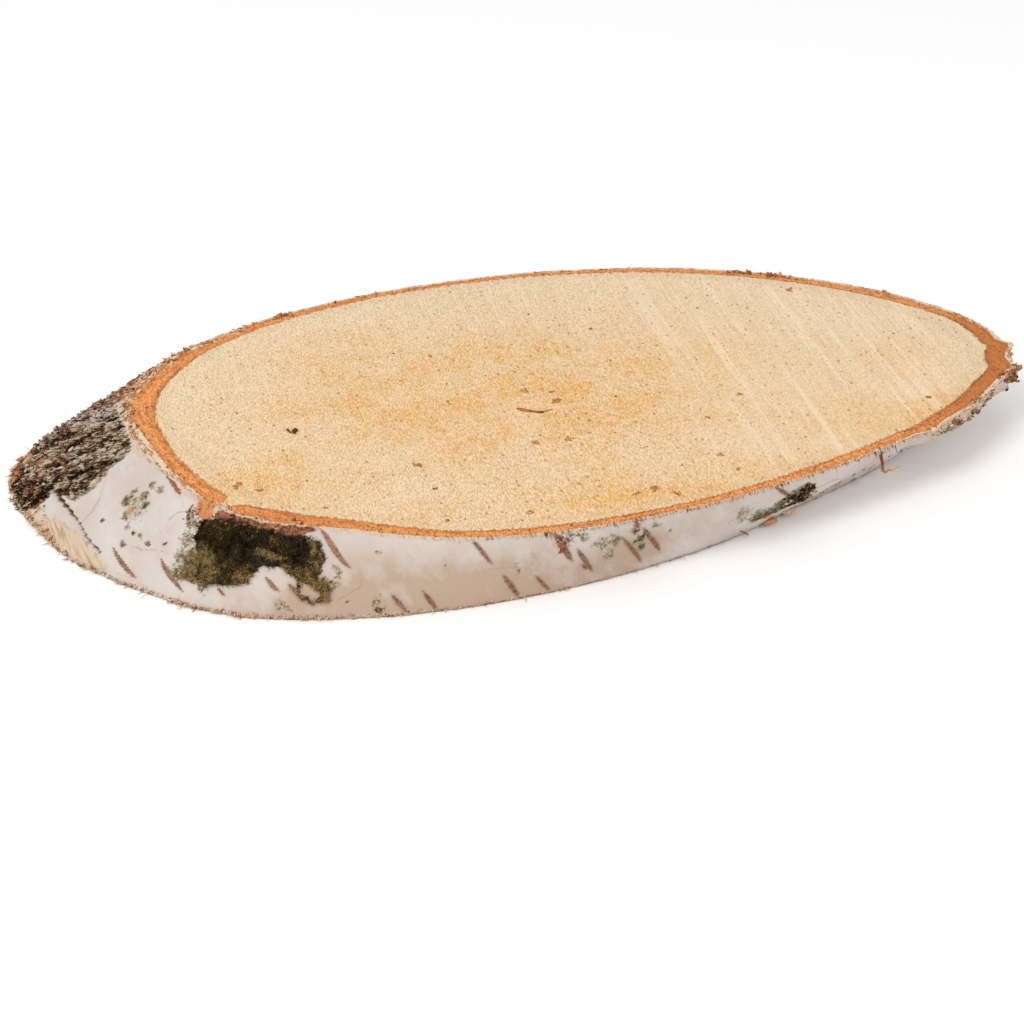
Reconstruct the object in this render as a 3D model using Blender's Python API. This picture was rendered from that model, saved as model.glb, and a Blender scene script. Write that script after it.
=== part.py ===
"""Birch slice: one solid, sawn obliquely from a round birch trunk by two parallel cuts.

Metres, +Z up.  The slice lies on its lower sawn face.  The origin is the centre of the
bounding box's bottom.  +X runs along the long way of the oval, towards the end where the
bark is undercut, and the trunk it was sawn from leaned the same way.
"""

from math import atan2, cos, exp, pi, radians, sin, tan
from typing import NamedTuple

import bmesh
import bpy
from mathutils import Vector

# ---- Driving dimensions (metres, degrees) ------------------------------------------------
SLICE_THICKNESS = 0.0175      # between the two saw cuts
TRUNK_RADIUS = 0.066          # mean radius over the bark, square to the trunk's length
CUT_SLANT = 57.0              # between the trunk's length and the slice's upright

# ---- Fineness of the mesh ----------------------------------------------------------------
SIDES_ROUND_TRUNK = 168
ROWS_UP_WALL = 10

OBJECT_NAME = "birch_slice"
COLLECTION_NAME = "birch_wood_slice"
SAWN_WOOD_COLOR = (0.80, 0.61, 0.37, 1.0)
SAWN_WOOD_ROUGHNESS = 0.8


class Lobe(NamedTuple):
    """One smooth out-of-roundness of the trunk."""

    high_places: int          # how many times it rises on the way round
    share: float              # of the mean radius
    first_high: float         # degrees round the trunk from +X


class Swelling(NamedTuple):
    """A local rise of the bark, or a dip where rise is negative."""

    angle: float              # degrees round the trunk from +X
    level: float              # height of its middle, as a share of the thickness
    half_width: float         # round the trunk
    half_height: float        # up the wall
    rise: float               # square to the trunk's length


LOBES = (
    Lobe(high_places=2, share=0.047, first_high=90.0),
    Lobe(high_places=3, share=0.039, first_high=0.0),
    Lobe(high_places=4, share=0.017, first_high=-23.0),
)

SWELLINGS = {
    "crust": Swelling(166.0, 0.30, 0.024, 0.011, 0.0038),
    "branch_scar": Swelling(-127.0, 0.35, 0.013, 0.007, 0.0012),
    "rim_over_scar": Swelling(-123.0, 1.0, 0.012, 0.006, -0.0030),
    "bark_pocket": Swelling(-143.5, 1.0, 0.0018, 0.007, -0.0010),
    "worn_lower_edge": Swelling(-136.0, 0.0, 0.015, 0.006, -0.0018),
    "torn_underside": Swelling(-46.0, 0.0, 0.018, 0.008, -0.0024),
    "front_knot": Swelling(-58.0, 0.50, 0.0050, 0.0050, 0.0010),
    "end_knob": Swelling(-18.0, 0.80, 0.0036, 0.0028, 0.0046),
}


def turn_between(angle: float, other: float) -> float:
    """Return the shortest turn from one angle to another, in radians, from -pi to pi."""
    return (angle - other + pi) % (2.0 * pi) - pi


def trunk_radius(angle: float, height: float) -> float:
    """Return the radius of the barked trunk at an angle round it and a height on the wall."""
    radius = TRUNK_RADIUS
    for lobe in LOBES:
        radius += TRUNK_RADIUS * lobe.share * cos(lobe.high_places * (angle - radians(lobe.first_high)))
    for swelling in SWELLINGS.values():
        across = turn_between(angle, radians(swelling.angle)) * TRUNK_RADIUS / swelling.half_width
        up = (height - swelling.level * SLICE_THICKNESS) / swelling.half_height
        radius += swelling.rise * exp(-across * across - up * up)
    return radius


def wall_point(angle: float, height: float) -> Vector:
    """Return the point of the leaning trunk's skin at an angle round it, at a height.

    A leaning round trunk cut level shows an oval: its short way is the trunk's own width,
    and its long way is that width divided by the cosine of the slant.
    """
    slant = radians(CUT_SLANT)
    radius = trunk_radius(angle, height)
    along = height * tan(slant) + radius * cos(angle) / cos(slant)
    return Vector((along, radius * sin(angle), height))


def make_disc() -> bmesh.types.BMesh:
    """Return a plain closed disc of unit radius, with rows of edges up its wall."""
    disc = bmesh.new()
    bmesh.ops.create_cone(
        disc, cap_ends=True, segments=SIDES_ROUND_TRUNK, radius1=1.0, radius2=1.0, depth=1.0
    )
    upright_edges = [edge for edge in disc.edges if abs(edge.verts[0].co.z - edge.verts[1].co.z) > 0.5]
    bmesh.ops.subdivide_edges(disc, edges=upright_edges, cuts=ROWS_UP_WALL - 1, use_grid_fill=True)
    return disc


def lay_disc_on_trunk(disc: bmesh.types.BMesh) -> None:
    """Move every point of the disc to its place on the leaning trunk."""
    for vert in disc.verts:
        angle = atan2(vert.co.y, vert.co.x)
        height = (vert.co.z + 0.5) * SLICE_THICKNESS
        vert.co = wall_point(angle, height)


def centre_on_bottom(disc: bmesh.types.BMesh) -> None:
    """Move the solid so that the origin is the centre of its bounding box's bottom."""
    lows = [min(vert.co[axis] for vert in disc.verts) for axis in range(3)]
    highs = [max(vert.co[axis] for vert in disc.verts) for axis in range(3)]
    middle = Vector(((lows[0] + highs[0]) / 2.0, (lows[1] + highs[1]) / 2.0, lows[2]))
    bmesh.ops.translate(disc, verts=disc.verts, vec=-middle)


def make_material() -> bpy.types.Material:
    """Return the plain sawn-wood material."""
    material = bpy.data.materials.new("sawn_wood")
    material.use_nodes = True
    shader = material.node_tree.nodes["Principled BSDF"]
    shader.inputs["Base Color"].default_value = SAWN_WOOD_COLOR
    shader.inputs["Roughness"].default_value = SAWN_WOOD_ROUGHNESS
    shader.inputs["Metallic"].default_value = 0.0
    return material


def make_slice(collection: bpy.types.Collection) -> bpy.types.Object:
    """Build the slice as one closed solid and link it to the collection."""
    disc = make_disc()
    lay_disc_on_trunk(disc)
    centre_on_bottom(disc)
    bmesh.ops.triangulate(disc, faces=disc.faces)
    bmesh.ops.recalc_face_normals(disc, faces=disc.faces)
    mesh = bpy.data.meshes.new(OBJECT_NAME)
    disc.to_mesh(mesh)
    disc.free()
    mesh.shade_smooth()
    mesh.set_sharp_from_angle(angle=radians(35.0))
    mesh.materials.append(make_material())
    piece = bpy.data.objects.new(OBJECT_NAME, mesh)
    collection.objects.link(piece)
    return piece


def main() -> None:
    """Clear the scene and build the slice."""
    for leftover in list(bpy.data.objects):
        bpy.data.objects.remove(leftover, do_unlink=True)
    collection = bpy.data.collections.new(COLLECTION_NAME)
    bpy.context.scene.collection.children.link(collection)
    make_slice(collection)


main()
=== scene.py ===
"""Birch wood slice: the finish of a slice sawn obliquely from a birch trunk.

The looks are laid over the CAD solid, in its frame: metres, +Z up, +X along the oval
towards the end where the bark is undercut.  Angles are degrees round the leaning trunk,
counted from +X towards +Y, so the front of the slice is near -90 and its broad slanting
end near 180.  Sizes in millimetres say so in their names.
"""

import logging
from dataclasses import dataclass, field
from enum import Enum
from math import atan, cos, pi, radians, sin, tan
from typing import NamedTuple

import bpy
import numpy as np
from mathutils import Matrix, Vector
from mathutils.bvhtree import BVHTree


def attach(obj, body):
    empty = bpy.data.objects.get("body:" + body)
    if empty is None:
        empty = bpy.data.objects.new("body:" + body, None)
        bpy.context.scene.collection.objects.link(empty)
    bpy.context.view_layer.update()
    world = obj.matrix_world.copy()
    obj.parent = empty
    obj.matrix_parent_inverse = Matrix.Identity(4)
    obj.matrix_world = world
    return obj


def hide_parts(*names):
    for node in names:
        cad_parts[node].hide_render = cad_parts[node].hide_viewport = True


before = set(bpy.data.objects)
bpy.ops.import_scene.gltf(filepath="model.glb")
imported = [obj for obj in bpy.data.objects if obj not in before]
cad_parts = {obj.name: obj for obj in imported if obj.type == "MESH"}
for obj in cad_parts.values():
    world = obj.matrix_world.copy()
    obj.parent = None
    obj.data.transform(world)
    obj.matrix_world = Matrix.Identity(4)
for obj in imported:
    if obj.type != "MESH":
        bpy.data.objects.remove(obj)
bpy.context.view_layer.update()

LOG = logging.getLogger("birch_slice")
NODE = "birch_slice"
BODY = "root"
MM = 0.001
UP = np.array([0.0, 0.0, 1.0])

Array = np.ndarray
Colour = tuple[float, float, float]


class Slot(Enum):
    """The material slots of the slice."""

    SAWN_WOOD = "sawn_wood"
    INNER_BARK = "inner_bark"
    WHITE_BARK = "white_bark"
    ROUGH_BARK = "rough_bark"
    MOSS = "moss"
    TORN_FIBRE = "torn_fibre"


class Side(Enum):
    """The two sawn faces of the slice."""

    UPPER = "upper"
    LOWER = "lower"


# ---- Numbers over surfaces --------------------------------


WORD = 0xFFFFFFFF             # keeps the mixed whole numbers of the noise to 32 bits
SPREADERS = (374761393, 668265263, 1103515245)
SEED_SPREADER = 2654435761
SALT_SPREADER = 97531
MIXERS = ((13, 1274126177), (15, 2246822519))
TINY = 1e-12                  # keeps a length from being divided by nothing
Size = float | tuple[float, float, float]


def smooth_step(value: Array, low: float, high: float) -> Array:
    """Return 0 below low, 1 above high and a smooth rise between; high may be the lower one."""
    share = np.clip((value - low) / (high - low), 0.0, 1.0)
    return share * share * (3.0 - 2.0 * share)


def turn_from(angle: Array, middle: float) -> Array:
    """Return how far each angle is from a middle one, in degrees from -180 to 180."""
    return (angle - middle + 180.0) % 360.0 - 180.0


def unit(vectors: Array) -> Array:
    """Return vectors of length one."""
    return vectors / np.maximum(np.linalg.norm(vectors, axis=-1, keepdims=True), TINY)


def packed(values: Array, kind: type = np.float32) -> Array:
    """Return values as one flat row, as a mesh takes them."""
    return np.ascontiguousarray(values, kind).ravel()


@dataclass(frozen=True)
class Grit:
    """Seeded noise through space, which is the same every run."""

    seed: int

    def corner(self, cell: Array, salt: int = 0) -> Array:
        """Mix the numbers of each cell into one.

        Args:
            cell: Whole-numbered cells, with x, y and z along the last axis.
            salt: Picks one of several numbers for the same cell.

        Returns:
            A number from 0 to 1 for each cell.
        """
        mixed = sum(cell[..., axis] * SPREADERS[axis] for axis in range(3))
        mixed = (mixed + self.seed * SEED_SPREADER + salt * SALT_SPREADER) & WORD
        for shift, factor in MIXERS:
            mixed = ((mixed ^ (mixed >> shift)) * factor) & WORD
        return ((mixed ^ (mixed >> 16)) & 0xFFFFFF) / float(0xFFFFFF)

    def lumps(self, place: Array, size: Size) -> Array:
        """Make smooth noise.

        Args:
            place: Points in space.
            size: How big its lumps are, the same or different along x, y and z.

        Returns:
            Noise from -1 to 1 at each point.
        """
        scaled = place / np.asarray(size)
        cell = np.floor(scaled).astype(np.int64)
        part = scaled - cell
        part = part * part * (3.0 - 2.0 * part)
        total = np.zeros(place.shape[:-1])
        for step in np.ndindex(2, 2, 2):
            weight = np.prod([part[..., i] if step[i] else 1.0 - part[..., i] for i in range(3)], axis=0)
            total += weight * self.corner(cell + np.array(step))
        return 2.0 * total - 1.0

    def rough(self, place: Array, size: Size, layers: int = 3) -> Array:
        """Make layered noise, each layer half the size and strength of the last.

        Args:
            place: Points in space.
            size: How big the first layer's lumps are.
            layers: How many layers there are.

        Returns:
            Noise from about -1 to 1 at each point.
        """
        total = np.zeros(place.shape[:-1])
        for layer in range(layers):
            total += self.lumps(place + 0.37 * layer, np.asarray(size) / 2.0**layer) / 2.0**layer
        return total / 1.75

    def plates(self, place: Array, size: Size) -> tuple[Array, Array]:
        """Split space into cracked plates.

        Args:
            place: Points in space.
            size: How big the plates are.

        Returns:
            The gap from each point to its plate's crack, and a tone from 0 to 1 for its plate.
        """
        scaled = place / np.asarray(size)
        cell = np.floor(scaled).astype(np.int64)
        near = np.full(place.shape[:-1], 9.0)
        second, tone = near.copy(), np.zeros(place.shape[:-1])
        for step in np.ndindex(3, 3, 3):
            other = cell + np.array(step) - 1
            seed_place = other + np.stack([self.corner(other, salt) for salt in (1, 2, 3)], axis=-1)
            gap = np.linalg.norm(seed_place - scaled, axis=-1)
            closer = gap < near
            second = np.where(closer, near, np.minimum(second, gap))
            tone = np.where(closer, self.corner(other, 4), tone)
            near = np.where(closer, gap, near)
        return second - near, tone


# ---- The skin of the trunk, read off the CAD solid --------


@dataclass
class TrunkSkin:
    """The barked skin of the leaning trunk."""

    solid: bpy.types.Object
    angles_read: int = 720
    levels_read: int = 29
    blur_degrees: float = 0.9
    inset: float = 0.05 * MM      # how far the highest and lowest rays keep inside the faces
    rim_depth: float = 0.01 * MM  # points nearer to a face than this belong to its rim
    girth: float = 66.0 * MM      # the mean radius, by which angles are laid flat
    thickness: float = field(init=False)
    low_middle: Array = field(init=False)
    high_middle: Array = field(init=False)
    lean: float = field(init=False)
    radii: Array = field(init=False)

    def __post_init__(self) -> None:
        """Read the solid's rims, its lean and its radius all over."""
        mesh = self.solid.data
        points = np.array([vert.co[:] for vert in mesh.vertices])
        self.thickness = float(points[:, 2].max())
        self.low_middle = self.rim_middle(points[points[:, 2] < self.rim_depth])
        self.high_middle = self.rim_middle(points[points[:, 2] > self.thickness - self.rim_depth])
        self.lean = atan((self.high_middle[0] - self.low_middle[0]) / self.thickness)
        faces = [face.vertices[:] for face in mesh.polygons]
        tree = BVHTree.FromPolygons([vert.co for vert in mesh.vertices], faces)
        self.radii = np.array([self.read_level(tree, level) for level in range(self.levels_read)])

    @staticmethod
    def rim_middle(rim: Array) -> Array:
        """Find the middle of a sawn face.

        Args:
            rim: The points of its rim.

        Returns:
            The x and y of the centre of the area inside them.
        """
        middle = rim[:, :2].mean(axis=0)
        here = rim[np.argsort(np.arctan2(rim[:, 1] - middle[1], rim[:, 0] - middle[0])), :2]
        after = np.roll(here, -1, axis=0)
        strip = here[:, 0] * after[:, 1] - after[:, 0] * here[:, 1]
        return ((here + after) * strip[:, None]).sum(axis=0) / (3.0 * strip.sum())

    def read_level(self, tree: BVHTree, level: int) -> Array:
        """Measure the trunk round one level, with rays from its middle.

        Args:
            tree: The CAD solid's faces.
            level: Which of the levels.

        Returns:
            A slightly smoothed radius for each angle read.
        """
        height = self.thickness * level / (self.levels_read - 1)
        height = np.clip(height, self.inset, self.thickness - self.inset)
        middle = self.middle(height)
        found = []
        for angle in np.arange(self.angles_read) * 2.0 * pi / self.angles_read:
            aim = Vector((cos(angle) / cos(self.lean), sin(angle), 0.0))
            hit = tree.ray_cast(Vector((middle[0], middle[1], height)), aim.normalized())
            found.append(hit[3] / aim.length)
        reach = np.arange(-4, 5)
        weights = np.exp(-0.5 * (reach / (self.blur_degrees * self.angles_read / 360.0)) ** 2)
        moved = (weight * np.roll(found, int(shift)) for weight, shift in zip(weights, reach))
        return sum(moved) / weights.sum()

    def middle(self, height: Array) -> Array:
        """Return the trunk's middle at a height, with x and y along the last axis."""
        share = np.asarray(height)[..., None] / self.thickness
        return self.low_middle + (self.high_middle - self.low_middle) * share

    def radius(self, angle: Array, height: Array) -> Array:
        """Look up the trunk's radius, square to its length.

        Args:
            angle: Angles round the trunk.
            height: Heights above the floor.

        Returns:
            The radius at each.
        """
        column = (angle % 360.0) * self.angles_read / 360.0
        row = np.clip(height / self.thickness, 0.0, 1.0) * (self.levels_read - 1)
        left = np.floor(column).astype(int)
        under = np.minimum(np.floor(row).astype(int), self.levels_read - 2)
        across, up = column - left, row - under
        ends = (left % self.angles_read, (left + 1) % self.angles_read)
        low, high = (self.radii[level, ends[0]] * (1 - across) + self.radii[level, ends[1]] * across
                     for level in (under, under + 1))
        return low * (1 - up) + high * up

    def place(self, angle: Array, height: Array, rise: Array | float = 0.0) -> Array:
        """Find points on the skin, or risen off it.

        Args:
            angle: Angles round the trunk.
            height: Heights above the floor, which are kept.
            rise: How far out from the skin, square to the trunk's length.

        Returns:
            The points, with x, y and z along the last axis.
        """
        radius, turn = self.radius(angle, height) + rise, np.radians(angle)
        middle = self.middle(height)
        x = middle[..., 0] + radius * np.cos(turn) / cos(self.lean)
        y = middle[..., 1] + radius * np.sin(turn)
        return np.stack([x, y, np.broadcast_to(height, radius.shape)], axis=-1)

    def log_place(self, angle: Array, height: Array) -> Array:
        """Find where skin points lie on the trunk stood upright.

        Args:
            angle: Angles round the trunk.
            height: Heights above the floor.

        Returns:
            The points, with two ways across the trunk and then the way along it.
        """
        radius, turn = self.radius(angle, height), np.radians(angle)
        along = height / cos(self.lean) + radius * np.cos(turn) * tan(self.lean)
        return np.stack([radius * np.cos(turn), radius * np.sin(turn), along], axis=-1)

    def sheet(self, angle: Array, height: Array, about: float) -> Array:
        """Return skin points as millimetres on the bark laid flat: round from an angle, and along."""
        around = np.radians(turn_from(angle, about)) * self.girth
        return np.stack([around, self.log_place(angle, height)[..., 2]], axis=-1) / MM

    def outward(self, angle: Array) -> Array:
        """Return level ways straight out from the bark."""
        turn = np.radians(angle)
        return unit(np.stack([np.cos(turn) * cos(self.lean), np.sin(turn), np.zeros_like(turn)], axis=-1))

    def trunk_way(self) -> Array:
        """Return the way up along the trunk."""
        return np.array([sin(self.lean), 0.0, cos(self.lean)])


def beside(outs: Array) -> Array:
    """Return the level ways round the trunk that belong to some outward ways."""
    return np.stack([-outs[..., 1], outs[..., 0], np.zeros(outs.shape[:-1])], axis=-1)


# ---- Meshes -----------------------------------------------


def grid_faces(rows: int, columns: int) -> Array:
    """Join a grid of points, closed round its rows, with four-cornered faces.

    Args:
        rows: How many rows of points there are.
        columns: How many points there are in a row.

    Returns:
        The four points of each face.
    """
    row, column = np.mgrid[0:rows - 1, 0:columns]
    low, after = row * columns, (column + 1) % columns
    high = low + columns
    return np.stack([low + column, low + after, high + after, high + column], axis=-1).reshape(-1, 4)


def make_piece(
    name: str, places: Array, faces: Array, marks: dict[str, Array], bake_map: Array | None = None
) -> bpy.types.Object:
    """Return a new smooth mesh object.

    Args:
        name: The piece's name.
        places: Its points.
        faces: Its faces, all with the same number of corners.
        marks: Numbers or places stored on the points, for the materials to read.
        bake_map: A place on the texture map for every face corner.

    Returns:
        The object, linked to the scene.
    """
    mesh = bpy.data.meshes.new(name)
    mesh.vertices.add(len(places))
    mesh.vertices.foreach_set("co", packed(places))
    mesh.loops.add(faces.size)
    mesh.loops.foreach_set("vertex_index", packed(faces, np.int32))
    mesh.polygons.add(len(faces))
    mesh.polygons.foreach_set("loop_start", np.arange(0, faces.size, faces.shape[1], dtype=np.int32))
    mesh.update(calc_edges=True)
    mesh.validate()
    mesh.shade_smooth()
    for mark, values in marks.items():
        is_place = values.ndim > 1 and values.shape[-1] == 3
        layer = mesh.attributes.new(mark, "FLOAT_VECTOR" if is_place else "FLOAT", "POINT")
        layer.data.foreach_set("vector" if is_place else "value", packed(values))
    if bake_map is not None:
        mesh.uv_layers.new(name="OFBake").uv.foreach_set("vector", packed(bake_map))
    piece = bpy.data.objects.new(name, mesh)
    bpy.context.scene.collection.objects.link(piece)
    return piece


def folded_map(rows: int, columns: int, folds: int) -> Array:
    """Lay a closed grid's faces out on the texture map, cut into stacked strips.

    Args:
        rows: How many rows of points the grid has.
        columns: How many points there are in a row.
        folds: How many strips there are.

    Returns:
        A place on the map for every face corner.
    """
    per_fold = -(-columns // folds)
    row, column = np.mgrid[0:rows - 1, 0:columns]
    fold = column // per_fold
    margin = 0.02
    low = (fold + margin + (1 - 2 * margin) * row / (rows - 1)) / folds
    high = low + (1 - 2 * margin) / (rows - 1) / folds
    left = margin / 2 + (1 - margin) * (column - fold * per_fold) / per_fold
    right = left + (1 - margin) * (1.0 / per_fold)
    corners = [(left, low), (right, low), (right, high), (left, high)]
    return np.stack([np.stack(corner, axis=-1) for corner in corners], axis=-2).reshape(-1, 2)


def settle(piece: bpy.types.Object, material: bpy.types.Material) -> None:
    """Dress a piece and fix it to the slice.

    Args:
        piece: The piece.
        material: What it is dressed in.
    """
    piece.data.materials.append(material)
    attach(piece, BODY)
    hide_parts(NODE)
    LOG.info("%s: %d faces", piece.name, len(piece.data.polygons))


# ---- Shader nodes -----------------------------------------


Socket = bpy.types.NodeSocket
Source = Socket | float | Colour


class Desk:
    """Short ways to add nodes to one tree and join them."""

    def __init__(self, tree: bpy.types.NodeTree) -> None:
        """Work on a tree."""
        self.tree = tree

    def feed(self, socket: Socket, source: Source) -> None:
        """Join a source to a socket, or set the socket where the source is a constant.

        Args:
            socket: The socket of a node.
            source: An output of another node, a number, a colour or three numbers.
        """
        if isinstance(source, Socket):
            self.tree.links.new(source, socket)
        else:
            socket.default_value = (*source, 1.0) if socket.type == "RGBA" else source

    def add(
        self, kind: str, sources: dict[str | int, Source] | None = None, **settings: object
    ) -> bpy.types.Node:
        """Add a node.

        Args:
            kind: Its type.
            sources: What its inputs get, by their names or their order.
            **settings: Its own properties.

        Returns:
            The node.
        """
        node = self.tree.nodes.new(kind)
        for name, value in settings.items():
            setattr(node, name, value)
        for key, source in (sources or {}).items():
            self.feed(node.inputs[key], source)
        return node

    def math(self, operation: str, *terms: Source, clamp: bool = False) -> Socket:
        """Return one operation on numbers."""
        sources = dict(enumerate(terms))
        return self.add("ShaderNodeMath", sources, operation=operation, use_clamp=clamp).outputs[0]

    def times(self, first: Source, second: Source, clamp: bool = False) -> Socket:
        """Return a product."""
        return self.math("MULTIPLY", first, second, clamp=clamp)

    def plus(self, first: Source, second: Source) -> Socket:
        """Return a sum."""
        return self.math("ADD", first, second)

    def minus(self, first: Source, second: Source) -> Socket:
        """Return a difference."""
        return self.math("SUBTRACT", first, second)

    def window(
        self, value: Source, low: float, high: float, to_low: float = 0.0, to_high: float = 1.0
    ) -> Socket:
        """Return a smooth rise from to_low at low to to_high at high."""
        sources = dict(enumerate((value, low, high, to_low, to_high)))
        return self.add("ShaderNodeMapRange", sources, interpolation_type="SMOOTHSTEP").outputs[0]

    def blend(self, share: Source, first: Source, second: Source) -> Socket:
        """Return a mix of two colours."""
        sources = {"Factor": share, 6: first, 7: second}
        return self.add("ShaderNodeMix", sources, data_type="RGBA", clamp_factor=True).outputs[2]

    def lay(self, under: Source, *coats: tuple[Colour, Source, Source]) -> Socket:
        """Lay coats over a colour.

        Args:
            under: The colour beneath.
            *coats: Colours, each with the share and the strength of its cover.

        Returns:
            The colour that shows.
        """
        for colour, share, strength in coats:
            under = self.blend(self.times(share, strength), under, colour)
        return under

    def mark(self, name: str, output: str = "Fac") -> Socket:
        """Return a number stored on the mesh, or with the output called Vector a place."""
        return self.add("ShaderNodeAttribute", attribute_name=name).outputs[output]

    def own_place(self) -> Socket:
        """Return the place in the slice's own frame."""
        return self.add("ShaderNodeTexCoord").outputs["Object"]

    def scaled(self, place: Socket, scale: tuple[float, float, float], turn: float = 0.0) -> Socket:
        """Turn a place about Z and then scale it.

        Args:
            place: The place.
            scale: How much it grows along x, y and z.
            turn: How far it turns, in degrees.

        Returns:
            The new place.
        """
        sources = {0: place, "Rotation": (0.0, 0.0, radians(turn))}
        sources = {0: self.add("ShaderNodeMapping", sources, vector_type="POINT").outputs[0], 1: scale}
        return self.add("ShaderNodeVectorMath", sources, operation="MULTIPLY").outputs[0]

    def noise(self, place: Socket, scale: Source = 1.0, detail: float = 2.0, rough: float = 0.5) -> Socket:
        """Return layered noise from 0 to 1."""
        sources = {"Vector": place, "Scale": scale, "Detail": detail, "Roughness": rough}
        return self.add("ShaderNodeTexNoise", sources).outputs["Fac"]

    def effect(self, name: str, **values: Source) -> list[Socket]:
        """Return what a shared effect gives when it is placed with its own values."""
        sources = {title.title(): value for title, value in values.items()}
        return list(self.add("ShaderNodeGroup", sources, node_tree=bpy.data.node_groups[name]).outputs)

    def streaks(self, place: Socket, contrast: float, fineness: float = 1.0) -> list[Socket]:
        """Return the tone of fine fibres, from 0 in dark ones to 1 in pale ones, and their relief."""
        return self.effect("fibre_streaks", place=place, fineness=fineness, contrast=contrast)

    def specks(self, place: Socket, density: float, size: float, share: float, warp: float) -> Socket:
        """Return 1 on scattered ragged dots; a share of the cells that density sets has one."""
        return self.effect(
            "scattered_specks", place=place, density=density, size=size, share=share, warp=warp)[0]

    def ragged(self, mask: Socket, place: Socket, fineness: float, fray: float, softness: float) -> Socket:
        """Return a soft mask made crisp with a frayed border."""
        return self.effect(
            "ragged_edge", mask=mask, place=place, fineness=fineness, fray=fray, softness=softness)[0]

    def blotches(self, place: Socket, fineness: float) -> Socket:
        """Return broad soft stains, from 0 to 1."""
        return self.effect("soft_blotches", place=place, fineness=fineness)[0]


def start_effect(
    name: str, inputs: tuple[str, ...], outputs: tuple[str, ...] = ("Mask",)
) -> tuple[Desk, dict[str, Socket], dict[str, Socket]]:
    """Start a node group.

    Args:
        name: The group's name.
        inputs: Its inputs; the one called Place is a place and the others are numbers.
        outputs: Its outputs, which are numbers.

    Returns:
        A desk for its tree, what the group is given and what it has to put out.
    """
    tree = bpy.data.node_groups.new(name, "ShaderNodeTree")
    for titles, way in ((inputs, "INPUT"), (outputs, "OUTPUT")):
        for title in titles:
            kind = "NodeSocketVector" if title == "Place" else "NodeSocketFloat"
            tree.interface.new_socket(title, in_out=way, socket_type=kind)
    given, out = tree.nodes.new("NodeGroupInput"), tree.nodes.new("NodeGroupOutput")
    return Desk(tree), given.outputs, out.inputs


def make_streaks() -> None:
    """Build the effect of fine fibres: Tone is 0 in dark ones and 1 in pale ones, Height is their relief."""
    desk, given, out = start_effect("fibre_streaks", ("Place", "Fineness", "Contrast"), ("Tone", "Height"))
    broad = desk.noise(given["Place"], given["Fineness"], detail=3.0, rough=0.62)
    tone = desk.math("MULTIPLY_ADD", desk.minus(broad, 0.5), given["Contrast"], 0.5)
    desk.feed(out["Tone"], desk.math("MINIMUM", desk.math("MAXIMUM", tone, 0.0), 1.0))
    desk.feed(out["Height"], broad)


def make_specks() -> None:
    """Build the effect of scattered ragged dots."""
    desk, given, out = start_effect("scattered_specks", ("Place", "Density", "Size", "Share", "Warp"))
    sources = {"Vector": given["Place"], "Scale": given["Density"]}
    cells = desk.add("ShaderNodeTexVoronoi", sources, feature="F1")
    tone = desk.add("ShaderNodeSeparateColor", {0: cells.outputs["Color"]})
    chosen = desk.math("LESS_THAN", tone.outputs[0], given["Share"])
    reach = desk.times(given["Size"], desk.plus(tone.outputs[1], 0.4))
    fuzz = desk.noise(given["Place"], desk.times(given["Density"], 7.0))
    push = desk.times(desk.minus(fuzz, 0.5), given["Warp"])
    near = desk.plus(desk.math("DIVIDE", cells.outputs["Distance"], reach), push)
    desk.feed(out["Mask"], desk.times(desk.window(near, 1.0, 0.55), chosen))


def make_ragged() -> None:
    """Build the effect that makes a soft mask crisp with a frayed border."""
    desk, given, out = start_effect("ragged_edge", ("Mask", "Place", "Fineness", "Fray", "Softness"))
    fuzz = desk.noise(given["Place"], given["Fineness"], detail=4.0, rough=0.65)
    pushed = desk.plus(given["Mask"], desk.times(desk.minus(fuzz, 0.5), given["Fray"]))
    sharp = desk.math("DIVIDE", desk.minus(pushed, 0.5), given["Softness"])
    some = desk.window(given["Mask"], 0.0, 0.12)
    desk.feed(out["Mask"], desk.times(desk.window(sharp, -1.0, 1.0), some))


def make_blotches() -> None:
    """Build the effect of broad soft stains."""
    desk, given, out = start_effect("soft_blotches", ("Place", "Fineness"))
    cloud = desk.noise(given["Place"], given["Fineness"], detail=4.0, rough=0.6)
    desk.feed(out["Mask"], desk.window(cloud, 0.33, 0.67))


class Surface(NamedTuple):
    """What the shader is fed; relief_mm is the relief's whole height."""

    colour: Source
    roughness: Source
    height: Source
    relief_mm: float
    shine: float = 0.2


class Finish:
    """The looks of one kind of surface."""

    def surface(self, desk: Desk) -> Surface:
        """Return the surface, built on a material's desk."""
        raise NotImplementedError

    def material(self, name: str) -> bpy.types.Material:
        """Make the finish into a material.

        Args:
            name: The material's name.

        Returns:
            The material, with its colour, roughness and relief fed to the shader.
        """
        material = bpy.data.materials.new(name)
        material.use_nodes = True
        desk = Desk(material.node_tree)
        surface = self.surface(desk)
        bump = {"Strength": 1.0, "Distance": surface.relief_mm * MM, "Height": surface.height}
        normal = desk.add("ShaderNodeBump", bump).outputs[0]
        titles = ("Base Color", "Roughness", "Specular IOR Level", "Normal")
        for title, source in zip(titles, (surface.colour, surface.roughness, surface.shine, normal)):
            desk.feed(material.node_tree.nodes["Principled BSDF"].inputs[title], source)
        return material


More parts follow.
